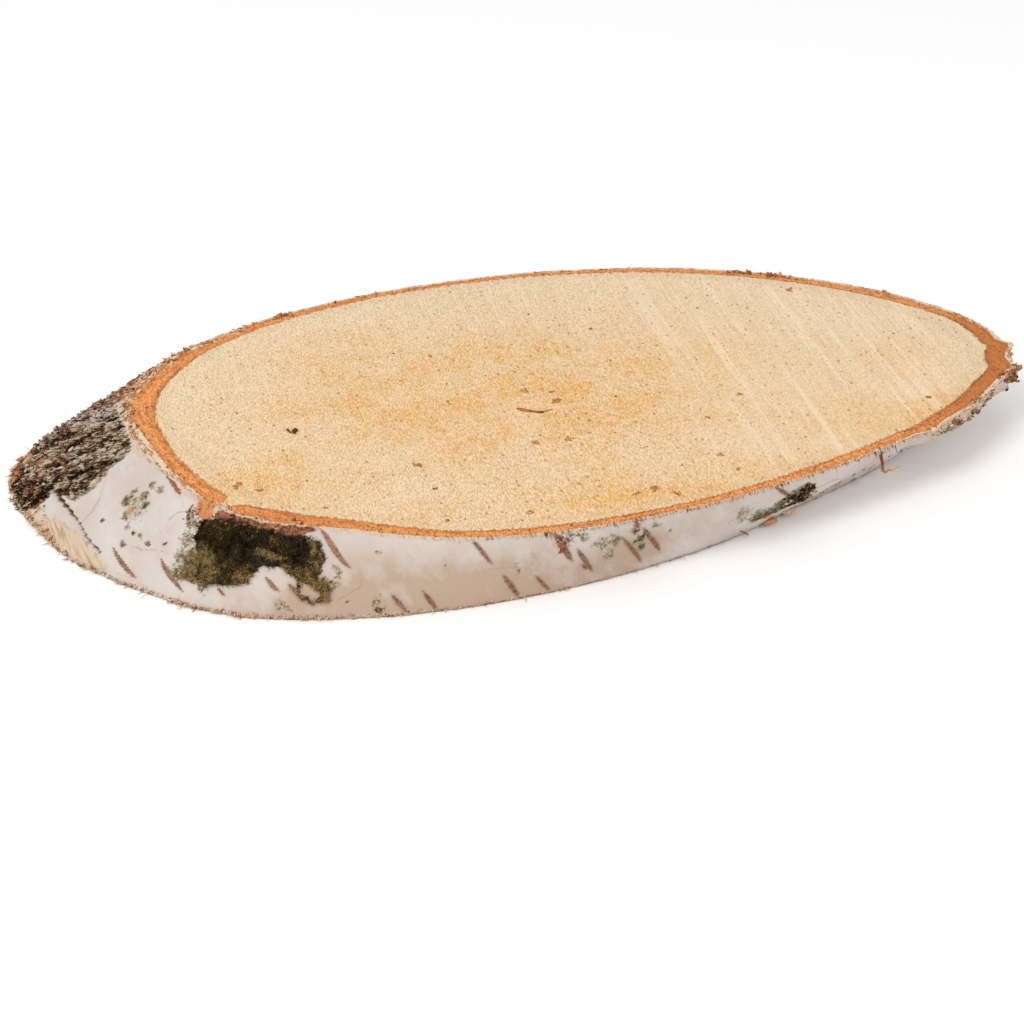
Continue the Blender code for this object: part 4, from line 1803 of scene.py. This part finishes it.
@dataclass
class CrustChips(Growth):
    """Loose-edged flakes that stand off the rough crust, the knots and the torn ends of the bark."""

    crust_count: int = 1150
    fields: tuple[FlakeField, ...] = (
        FlakeField((Patch(-63.4, 10, 2.4, 2.8),), 90, 0.7, 0.6, 0.25, 0.05),
        FlakeField((Patch(-20, 15, 3.2, 2.6),), 70, 1.2, 0.30, 0.25, 0.65),
        FlakeField((Patch(-145, 14.8, 1.2, 1.6), Patch(-141.8, 13.6, 1.6, 1)), 70, 0.6, 0.5, 0.35, 0.2),
        FlakeField((Outline(((-141, 17.2), (-126, 17.4), (-127, 15.2), (-138, 15.4)), 0.6),),
                   110, 0.6, 0.3, 0.3, 0.7),
        FlakeField((Patch(-97, 15, 1.8, 2),), 40, 0.6, 0.4, 0.35, 0.35),
        FlakeField((Outline(((-48, 17.6), (-10, 17.6), (-14, 12.6), (-34, 12), (-46, 15.4)), 1.4),),
                   300, 1.1, 0.14, 0.62, 0.24),
        FlakeField((Outline(((138, 17.6), (166, 17.6), (158, 14.4), (150, 11), (142, 10)), 1.4),),
                   260, 1.25, 0.15, 0.35, 0.6),
        FlakeField((Patch(165, 2.6, 6, 2.4), Patch(-177, 2.6, 2.4, 1.6)), 110, 1.1, 0.25, 0.25, 0.6),
        FlakeField((Patch(-174.2, 2.2, 2.4, 1.6),), 40, 0.9, 0.05, 0.75, 0.3),
        FlakeField((Stroke(((-58, 4), (-50.8, 7.2), (-46.6, 8.5), (-42, 10.5)), (2.4, 2.4, 2.4, 2.4)),),
                   90, 0.9, 0.05, 0.85, 0.15),
    )

    def build(self) -> None:
        """Make the flakes and dress them."""
        rng = np.random.default_rng(67)
        wall = self.wall
        around = turn_from(wall.angle, 180.0)
        skyline = smooth_step(around, -14.0, -24.0)
        cover = smooth_step(wall.marks["crust"], 0.3, 0.7) * (0.35 + skyline)
        cover = cover * (0.3 + wall.marks["crust_height"])
        covers = [cover * smooth_step(np.abs(around), 60.0, 50.0)]
        covers += [wall.cover(field.features, wall.angle, wall.height) for field in self.fields]
        picked, sizes, tones, rusts = [], [], [], []
        for field, cover in zip((FlakeField((), self.crust_count, 0.95), *self.fields), covers):
            weight = np.where(wall.height > 1.3 * MM, cover, 0.0).ravel()
            picked.append(rng.choice(weight.size, field.count, p=weight / weight.sum()))
            sizes.append(rng.gamma(3.0, 0.33 * field.size_mm, field.count) * MM)
            pick = rng.random(field.count)
            tone = np.where(pick < field.dark_share, rng.uniform(-0.1, 0.3, field.count), 0.55)
            tones.append(np.where(pick > 1.0 - field.pale_share, rng.uniform(0.8, 1.2, field.count), tone))
            rusts.append(np.where(rng.random(field.count) < field.rust_share, 0.85, 0.0))
        picked, lengths = np.concatenate(picked), np.concatenate(sizes)
        total = len(picked)
        normals, trunk_way = self.on_wall(wall.normals, picked), wall.skin.trunk_way()
        round_way = unit(np.cross(normals, trunk_way))
        ways = trunk_way - 0.42 * round_way + rng.normal(0.0, 0.35, normals.shape)
        outs = normals + rng.normal(0.0, 0.5, normals.shape)
        widths = lengths * rng.uniform(0.3, 0.7, total)
        thicks = rng.uniform(0.10, 0.24, total) * lengths**0.5 * MM**0.5
        middles = self.on_wall(wall.places, picked) + normals * rng.uniform(-0.2, 0.4, (total, 1)) * MM
        shape = chips(middles, ways, lengths, widths, thicks, outs, rng)
        self.make("crust_chips", shape, {"tone": np.concatenate(tones), "fleck": np.concatenate(rusts)}, 0.5)


@dataclass(frozen=True)
class Splinter:
    """One larger torn bit: where it is rooted, how big it is and which way it points."""

    angle: float
    height_mm: float
    length_mm: float
    width_mm: float
    way: tuple[float, float, float]       # round the trunk, outwards and up
    tone: float                           # 0 is brown, 0.5 orange, 1.1 straw


@dataclass
class TornBits(Growth):
    """The larger splinters, torn lips and the one curled string that hang on the bark."""

    splinters: tuple[Splinter, ...] = (
        Splinter(-160.6, 0.8, 4.6, 0.8, (1, 0.3, 0), 1), Splinter(-162.8, 0.7, 3.4, 0.9, (0.8, 0.5, 0), 0.8),
        Splinter(-165.4, 0.9, 2.8, 1.1, (0.6, 0.9, 0.1), 0.55),
        Splinter(-168.4, 1.3, 2.6, 1.3, (0.3, 1, 0.2), 0.5),
        Splinter(-172.6, 0.8, 2.8, 0.7, (-0.2, 1, 0.1), 0.95),
        Splinter(-174.4, 1.1, 2.2, 0.8, (0, 1, 0.3), 0.6), Splinter(-58.8, 0.8, 6.2, 2, (1, 0.22, 0.12), 0.6),
        Splinter(-54.6, 0.9, 5, 2, (1, 0.25, 0.16), 0.75), Splinter(-62, 0.7, 2.2, 1, (0.3, 1, 0), 0.35),
        Splinter(-64, 2, 1.6, 0.8, (0.2, 1, 0.2), 0.3), Splinter(-144.8, 15, 2.6, 1, (0.5, 0.5, -0.8), 0.15),
        Splinter(-143.2, 14.4, 2, 0.8, (0.6, 0.6, -0.4), 1),
        Splinter(-141.8, 15.9, 2.2, 1.1, (0.9, 0.5, -0.3), 1.1),
        Splinter(-18.5, 16.8, 2.6, 2, (0.2, 1, 0.3), 0.3), Splinter(-20, 14.4, 2.8, 1.9, (0.1, 1, 0), 0.22),
        Splinter(-17, 15.4, 2.2, 1.4, (0, 1, 0.2), 1), Splinter(161, 1.6, 4.6, 1.8, (1, 0.12, 0.3), 0.95),
        Splinter(157.5, 1.4, 4, 1.6, (1, 0.12, 0.4), 0.6),
    )
    string_root: Spot = (-53.6, 14.6)
    string_mm: tuple[tuple[float, float, float], ...] = (      # from its root: round, outwards and up
        (0, -0.3, 0), (0.1, 0.6, -2.2), (0.1, 0.9, -4.2), (0.9, 1.2, -5), (1.7, 1.4, -4.2), (2.6, 1.6, -4.9),
        (3.6, 1.8, -4.4), (4.8, 2, -4.2),
    )

    def build(self) -> None:
        """Make the bits and dress them."""
        rng = np.random.default_rng(73)
        skin = self.wall.skin
        angles, heights, lengths, widths, tones = np.array([
            (bit.angle, bit.height_mm * MM, bit.length_mm * MM, bit.width_mm * MM, bit.tone)
            for bit in self.splinters]).T
        given = np.array([bit.way for bit in self.splinters])
        outs = skin.outward(angles)
        ways = unit(given[:, :1] * beside(outs) + given[:, 1:2] * outs + given[:, 2:] * UP)
        middles = skin.place(angles, heights, 0.1 * MM) + 0.35 * lengths[:, None] * ways
        bits = chips(middles, ways, lengths, widths, 0.16 * lengths, outs + 0.6 * UP, rng)
        root_angle, root_mm = self.string_root
        out = skin.outward(np.array(root_angle))
        steps = np.array(self.string_mm) * MM
        root = skin.place(np.array(root_angle), np.array(root_mm * MM))
        spots = root + steps[:, :1] * beside(out) + steps[:, 1:2] * out
        spots[:, 2] += steps[:, 2]
        string = tube(spots, np.linspace(0.85, 0.32, len(spots)) * MM)
        tones = np.repeat(tones, len(bits[0]) // len(tones))
        tones = np.concatenate([tones, np.linspace(0.08, 0.55, len(string[0]))])
        self.make("torn_bits", joined(bits, string), {"tone": tones})


@dataclass
class FrayedEdges(Growth):
    """Torn fibres along both rims of the bark."""

    lower_count: int = 4400
    tooth_count: int = 2300
    rough_count: int = 1700

    def build_lower(self) -> None:
        """Make the ragged fringe that the saw tore along the lower rim."""
        rng, count = np.random.default_rng(83), self.lower_count
        clumps = rng.uniform(-180.0, 180.0, 460)
        angles = rng.choice(clumps, count) + rng.normal(0.0, 0.35, count)
        angles = np.where(rng.random(count) < 0.45, rng.uniform(-180.0, 180.0, count), angles)
        places, outs = self.wall.rim(0, angles, 0.15)
        places[:, 2] += rng.uniform(0.15, 1.2, count) * MM
        ways = outs * rng.uniform(0.1, 0.9, (count, 1)) - self.wall.skin.trunk_way() * 0.6
        ways += rng.normal(0.0, 0.35, ways.shape)
        under_crust = smooth_step(np.abs(turn_from(angles, 176.0)), 16.0, 8.0)
        lengths = rng.gamma(2.6, 0.28, count) * MM * (1.0 - 0.6 * under_crust)
        widths = rng.uniform(0.16, 0.48, count) * MM
        bends = rng.normal(0.0, 0.35, ways.shape)
        mixed = rng.beta(0.9, 1.5, count) * 1.1
        tone = np.where(rng.random(count) < 0.5, 1.15, mixed)
        self.make("lower_edge_fringe", strands(places, ways, bends, lengths, widths), {"tone": tone})

    def build_upper(self) -> None:
        """Make the teeth of fibre that the saw dragged over the front rim."""
        rng, count = np.random.default_rng(89), self.tooth_count
        angles = rng.uniform(-157.0, -12.0, count)
        away = smooth_step(angles, -52.0, -34.0)
        angles = np.where(rng.random(count) < 0.6 * away, angles - 60.0, angles)
        places, outs = self.wall.rim(-1, angles, 0.1)
        places[:, :2] -= outs[:, :2] * rng.uniform(0.0, 0.3, (count, 1)) * MM
        places[:, 2] += rng.uniform(-0.35, 0.02, count) * MM
        ways = np.array([0.35, -0.8, -0.9]) + 0.2 * outs + rng.normal(0.0, 0.18, outs.shape)
        lengths = rng.gamma(4.5, 0.155, count) * MM * (1.0 - 0.4 * away)
        widths = rng.uniform(0.18, 0.46, count) * MM
        bends = np.array([0.0, 0.1, -0.25]) + rng.normal(0.0, 0.1, ways.shape)
        pick = rng.random(count)
        tone = np.where(pick < 0.22, 0.1, np.where(pick < 0.36, 0.5, 1.15))
        self.make("upper_edge_teeth", strands(places, ways, bends, lengths, widths), {"tone": tone})

    def build_rough(self) -> None:
        """Make the coarse layered fray of the back rim, thickest beside the crust."""
        rng, count = np.random.default_rng(91), self.rough_count
        near_crust = 150.0 + rng.normal(0.0, 15.0, count)
        angles = np.where(rng.random(count) < 0.62, near_crust, rng.uniform(-30.0, 200.0, count))
        thick = smooth_step(np.abs(turn_from(angles, 150.0)), 40.0, 22.0)
        places, outs = self.wall.rim(-1, angles, 0.2)
        places -= outs * rng.uniform(-0.2, 1.0, (count, 1)) * (0.4 + 2.0 * thick[:, None]) * MM
        places[:, 2] -= rng.uniform(-0.05, 0.6, count) * MM * (0.4 + thick)
        ways = beside(outs) * rng.choice([-1.0, 1.0], (count, 1)) + outs * rng.uniform(-0.2, 0.8, (count, 1))
        ways += rng.normal(0.0, 0.25, ways.shape)
        lengths = rng.gamma(3.0, 0.30, count) * MM * (0.7 + 1.3 * thick)
        widths = lengths * rng.uniform(0.15, 0.45, count)
        tops = UP + 0.5 * outs + rng.normal(0.0, 0.5, outs.shape)
        shape = chips(places, ways, lengths, widths, 0.12 * lengths, tops, rng)
        self.make("back_edge_flakes", shape, {"tone": rng.beta(1.6, 1.2, count) * 1.1}, 0.6)


@dataclass
class Crumbs(Growth):
    """Crumbs of bark caught on the upper rim; sawdust, rusty specks and one crumb on the face."""

    dust_count: int = 170
    crumb: tuple[tuple[float, float, float, float], ...] = (      # x, y, 0 and size in millimetres
        (-62.5, -6.2, 0, 1.6), (-60.8, -7.1, 0, 2.2), (-61.3, -8, 0, 1.5), (-62.2, -7.4, 0, 1.2),
    )
    specks: tuple[tuple[float, float, float, float], ...] = (      # x, y, half size in millimetres, tone
        (12, -58, 1, 0.45), (17, -57, 1.5, 0.45), (21.5, -60.5, 1.1, 0.4), (-14.5, -60, 1.4, 0.6),
        (-34, -58.5, 0.9, 0.3), (-33.5, -43.5, 0.9, 0.3), (38, -45, 1.3, 0.55), (39.5, -53, 0.9, 0.4),
        (-79, -30, 1.5, 0.4), (-74, -33.5, 1.1, 0.4), (-60.5, -45.5, 0.9, 0.5), (6.2, -8, 1.6, 0.42),
        (6.6, -3, 0.9, 0.3), (-35, -31.5, 1.3, 0.4), (3.8, -28, 1.4, 0.55), (0.3, -0.8, 1.5, 0.55),
        (-4.3, -28, 1.5, 0.55), (27, 29.5, 1, 0.3), (88, 39, 1.5, 0.5), (99.5, -30.5, 1.1, 0.3),
        (41, -26.5, 0.9, 0.4), (53, -16.5, 0.9, 0.4), (-19, 24.5, 0.9, 0.5),
    )
    sprinkles: tuple[tuple[float, float, float, int, float], ...] = (      # x, y, spread, count, tone
        (14, -18, 9, 44, 0.08), (0, -30, 34, 60, 0.15), (30, -52, 12, 16, 0.45), (-30, -50, 22, 22, 0.40),
        (60, 0, 26, 26, 0.20), (-70, -20, 16, 18, 0.35),
    )
    smears: tuple[tuple[float, ...], ...] = (      # from x, y to x, y in millimetres, then width and tone
        (-4.6, -9.6, -0.6, -12.2, 2, 0.32), (-2.2, -11.4, 1.8, -13.4, 1.6, 0.16),
        (0.6, -13, 4.4, -12.2, 0.8, 0.4),
    )
    clusters: tuple[tuple[float, int, float], ...] = (      # angle, count, size in millimetres
        (121, 22, 1.5), (139, 12, 1.2), (56, 24, 1.4), (50.5, 20, 1.5), (47, 8, 1.2), (75, 10, 0.9),
        (92, 12, 0.9), (108, 14, 1), (-22, 22, 1.2), (-34, 20, 1), (30, 10, 1), (8, 12, 0.9), (-143, 10, 0.8),
        (-130, 14, 0.8), (-96, 8, 0.7), (-66, 10, 0.7),
    )

    def build_rim(self) -> None:
        """Make the crumbs along the rim."""
        rng = np.random.default_rng(97)
        angles, sizes = [], []
        for angle, count, size in self.clusters:
            angles.append(angle + rng.normal(0.0, 1.2, count))
            sizes.append(rng.gamma(3.0, 0.33 * size, count))
        angles, sizes = np.concatenate(angles), np.concatenate(sizes) * MM
        places, outs = self.wall.rim(-1, angles, 0.3)
        places -= outs * rng.uniform(-0.3, 1.6, (len(angles), 1)) * MM
        places[:, 2] += rng.uniform(-0.5, 0.25, len(angles)) * MM
        ways = rng.normal(0.0, 1.0, places.shape)
        tops = UP + rng.normal(0.0, 0.6, places.shape)
        widths = sizes * rng.uniform(0.35, 0.8, len(angles))
        shape = chips(places, ways, sizes, widths, 0.28 * sizes, tops, rng)
        self.make("rim_crumbs", shape, {"tone": 0.75 * rng.beta(1.3, 1.5, len(angles))})

    def kept_on_face(self, places: Array) -> Array:
        """Draw in the places that lie beyond the wood.

        Args:
            places: Places on the upper face.

        Returns:
            The places, all of them on the wood.
        """
        skin = self.wall.skin
        off = places[:, :2] - skin.middle(skin.thickness)
        off_round = off * (cos(skin.lean), 1.0)
        turn = np.degrees(np.arctan2(off_round[:, 1], off_round[:, 0]))
        limit = skin.radius(turn, np.full(len(turn), skin.thickness)) - 5.0 * MM
        share = np.minimum(1.0, limit / np.linalg.norm(off_round, axis=1)) ** 3
        return np.column_stack([places[:, :2] - off * (1.0 - share[:, None]), places[:, 2]])

    def build_dust(self) -> None:
        """Make the grains of sawdust, the rusty bits and the one bark crumb that lie on the upper face."""
        rng, count, skin = np.random.default_rng(101), self.dust_count, self.wall.skin
        angles = rng.uniform(-180.0, 180.0, count)
        share = np.sqrt(rng.random(count)) * 0.93
        dust = skin.place(angles, np.full(count, skin.thickness), -3.0 * MM)
        middle = skin.middle(skin.thickness)
        dust[:, :2] = middle + (dust[:, :2] - middle) * share[:, None]
        crumb = np.array(self.crumb) * MM
        heaps = [
            (dust, rng.gamma(2.5, 0.13, count) * MM, rng.beta(2.0, 1.2, count)),
            (crumb[:, :3] + dust[:1] * (0.0, 0.0, 1.0), crumb[:, 3], np.zeros(len(crumb)))]
        for x_mm, y_mm, half_mm, tone in self.specks:
            bits = int(5 + 5 * half_mm)
            away = rng.normal(0.0, 0.36 * half_mm * MM, (bits, 3)) * (1.0, 1.0, 0.0)
            heaps.append((np.array([x_mm * MM, y_mm * MM, skin.thickness]) + away,
                          rng.uniform(0.6, 1.1, bits) * half_mm * MM, tone + rng.uniform(-0.1, 0.15, bits)))
        for x_mm, y_mm, spread_mm, bits, tone in self.sprinkles:
            away = rng.normal(0.0, spread_mm * MM, (bits, 3)) * (1.0, 1.0, 0.0)
            heaps.append((self.kept_on_face(np.array([x_mm * MM, y_mm * MM, skin.thickness]) + away),
                          rng.uniform(0.35, 0.8, bits) * MM, tone + rng.uniform(-0.1, 0.15, bits)))
        places, sizes, tones = (np.concatenate(part) for part in zip(*heaps))
        flat = np.where(np.arange(len(sizes)) < count + len(crumb), 0.3, 0.05)
        places[:, 2] += 0.6 * flat * sizes + 0.05 * MM
        ways = rng.normal(0.0, 1.0, places.shape) * np.array([1.0, 1.0, 0.1])
        tops = UP + rng.normal(0.0, 0.8, places.shape) * flat[:, None]
        bits = chips(places, ways, sizes, sizes * 0.6, flat * sizes, tops, rng)
        smear = np.array(self.smears)
        starts, ends = smear[:, 0:2] * MM, smear[:, 2:4] * MM
        ways = np.pad(ends - starts, ((0, 0), (0, 1)))
        middles = np.pad((starts + ends) / 2.0, ((0, 0), (0, 1)), constant_values=skin.thickness + 0.08 * MM)
        lengths, thicks = np.linalg.norm(ways, axis=1) * 1.2, np.full(len(smear), 0.1 * MM)
        more = chips(middles, ways, lengths, smear[:, 4] * MM, thicks, np.tile(UP, (len(smear), 1)), rng)
        per_bit = len(bits[0]) // len(sizes)
        tone = np.repeat(np.concatenate([tones, smear[:, 5]]), per_bit)
        self.make("face_crumbs", joined(bits, more), {"tone": tone})


# ---- Studio -----------------------------------------------


@dataclass
class Studio:
    """The plain pale floor, the soft lights and the camera."""

    azimuth: float = -14.82
    elevation: float = 31.0
    distance: float = 0.5492
    aim: tuple[float, float, float] = (-0.01107, -0.03037, 0.0)
    lens_mm: float = 77.34
    floor_size: float = 8.0
    floor_colour: Colour = (0.97, 0.97, 0.97)
    sky_strength: float = 0.78

    def build_floor(self) -> None:
        """Lay the floor just under the slice."""
        half = self.floor_size / 2.0
        gap = 0.2 * MM
        corners = [(-half, -half), (half, -half), (half, half), (-half, half)]
        corners = np.array([(x, y, -gap) for x, y in corners])
        floor = make_piece("floor", corners, np.array([[0, 1, 2, 3]]), {})
        material = bpy.data.materials.new("pale_floor")
        material.use_nodes = True
        desk, inputs = Desk(material.node_tree), material.node_tree.nodes["Principled BSDF"].inputs
        desk.feed(inputs["Base Color"], self.floor_colour)
        desk.feed(inputs["Roughness"], 0.9)
        floor.data.materials.append(material)

    def add_lamp(self, name: str, place: Vector, size: float, watts: float, colour: Colour) -> None:
        """Add one soft square lamp that looks at the slice.

        Args:
            name: Its name.
            place: Where it hangs.
            size: How wide it is.
            watts: Its power.
            colour: Its light.
        """
        lamp = bpy.data.lights.new(name, "AREA")
        lamp.shape = "SQUARE"
        lamp.size = size
        lamp.energy = watts
        lamp.color = colour
        holder = bpy.data.objects.new(name, lamp)
        holder.location = place
        holder.rotation_euler = (-place).to_track_quat("-Z", "Y").to_euler()
        bpy.context.scene.collection.objects.link(holder)

    def build_lights(self) -> None:
        """Hang the lamps and set the sky."""
        scene = bpy.context.scene
        world = bpy.data.worlds.new("soft_sky")
        world.use_nodes = True
        sky = world.node_tree.nodes["Background"].inputs
        sky["Color"].default_value = (1.0, 0.998, 0.995, 1.0)
        sky["Strength"].default_value = self.sky_strength
        scene.world = world
        self.add_lamp("key_lamp", Vector((-0.75, -0.55, 1.15)), 0.55, 8.5, (1.0, 0.99, 0.975))
        self.add_lamp("fill_lamp", Vector((0.9, -0.9, 0.7)), 1.0, 3.0, (0.97, 0.98, 1.0))
        scene.view_settings.view_transform = "Standard"
        scene.view_settings.look = "None"

    def build_camera(self) -> None:
        """Set the camera up, looking down at the broad end from the front left."""
        turn, rise = radians(self.azimuth), radians(self.elevation)
        back = Vector((sin(turn) * cos(rise), -cos(turn) * cos(rise), sin(rise)))
        lens = bpy.data.cameras.new("camera")
        lens.lens = self.lens_mm
        lens.sensor_width = 36.0
        lens.clip_start = 0.01
        camera = bpy.data.objects.new("camera", lens)
        camera.location = Vector(self.aim) + back * self.distance
        camera.rotation_euler = (-back).to_track_quat("-Z", "Y").to_euler()
        bpy.context.scene.collection.objects.link(camera)
        bpy.context.scene.camera = camera


def main() -> None:
    """Build the slice's looks and the studio."""
    logging.basicConfig(level=logging.INFO, format="%(name)s: %(message)s")
    studio = Studio()
    studio.build_camera()
    for make_effect in (make_streaks, make_specks, make_ragged, make_blotches):
        make_effect()
    skin = TrunkSkin(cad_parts[NODE])
    LOG.info("trunk leans %.1f degrees, slice is %.1f mm thick", skin.lean * 180.0 / pi, skin.thickness / MM)
    wall = BarkWall(skin, WhiteBark().material("white_bark"))
    wall.build()
    wood = SawnWood()
    wood_material = wood.material("sawn_wood")
    ring_material = InnerBark(wood).material("inner_bark")
    for side in Side:
        face = SawnFace(wall, side, wood_material, ring_material)
        face.build_disc()
        face.build_ring()
    MossPad(wall, MOSS.material("moss"), Slot.MOSS).build()
    CrustChips(wall, ROUGH_BARK.material("rough_bark"), Slot.ROUGH_BARK).build()
    fibre = TORN_FIBRE.material("torn_fibre")
    TornBits(wall, fibre, Slot.TORN_FIBRE).build()
    edges = FrayedEdges(wall, fibre, Slot.TORN_FIBRE)
    edges.build_lower()
    edges.build_upper()
    edges.build_rough()
    crumbs = Crumbs(wall, fibre, Slot.TORN_FIBRE)
    crumbs.build_rim()
    crumbs.build_dust()
    studio.build_floor()
    studio.build_lights()


if __name__ == "__main__":
    main()
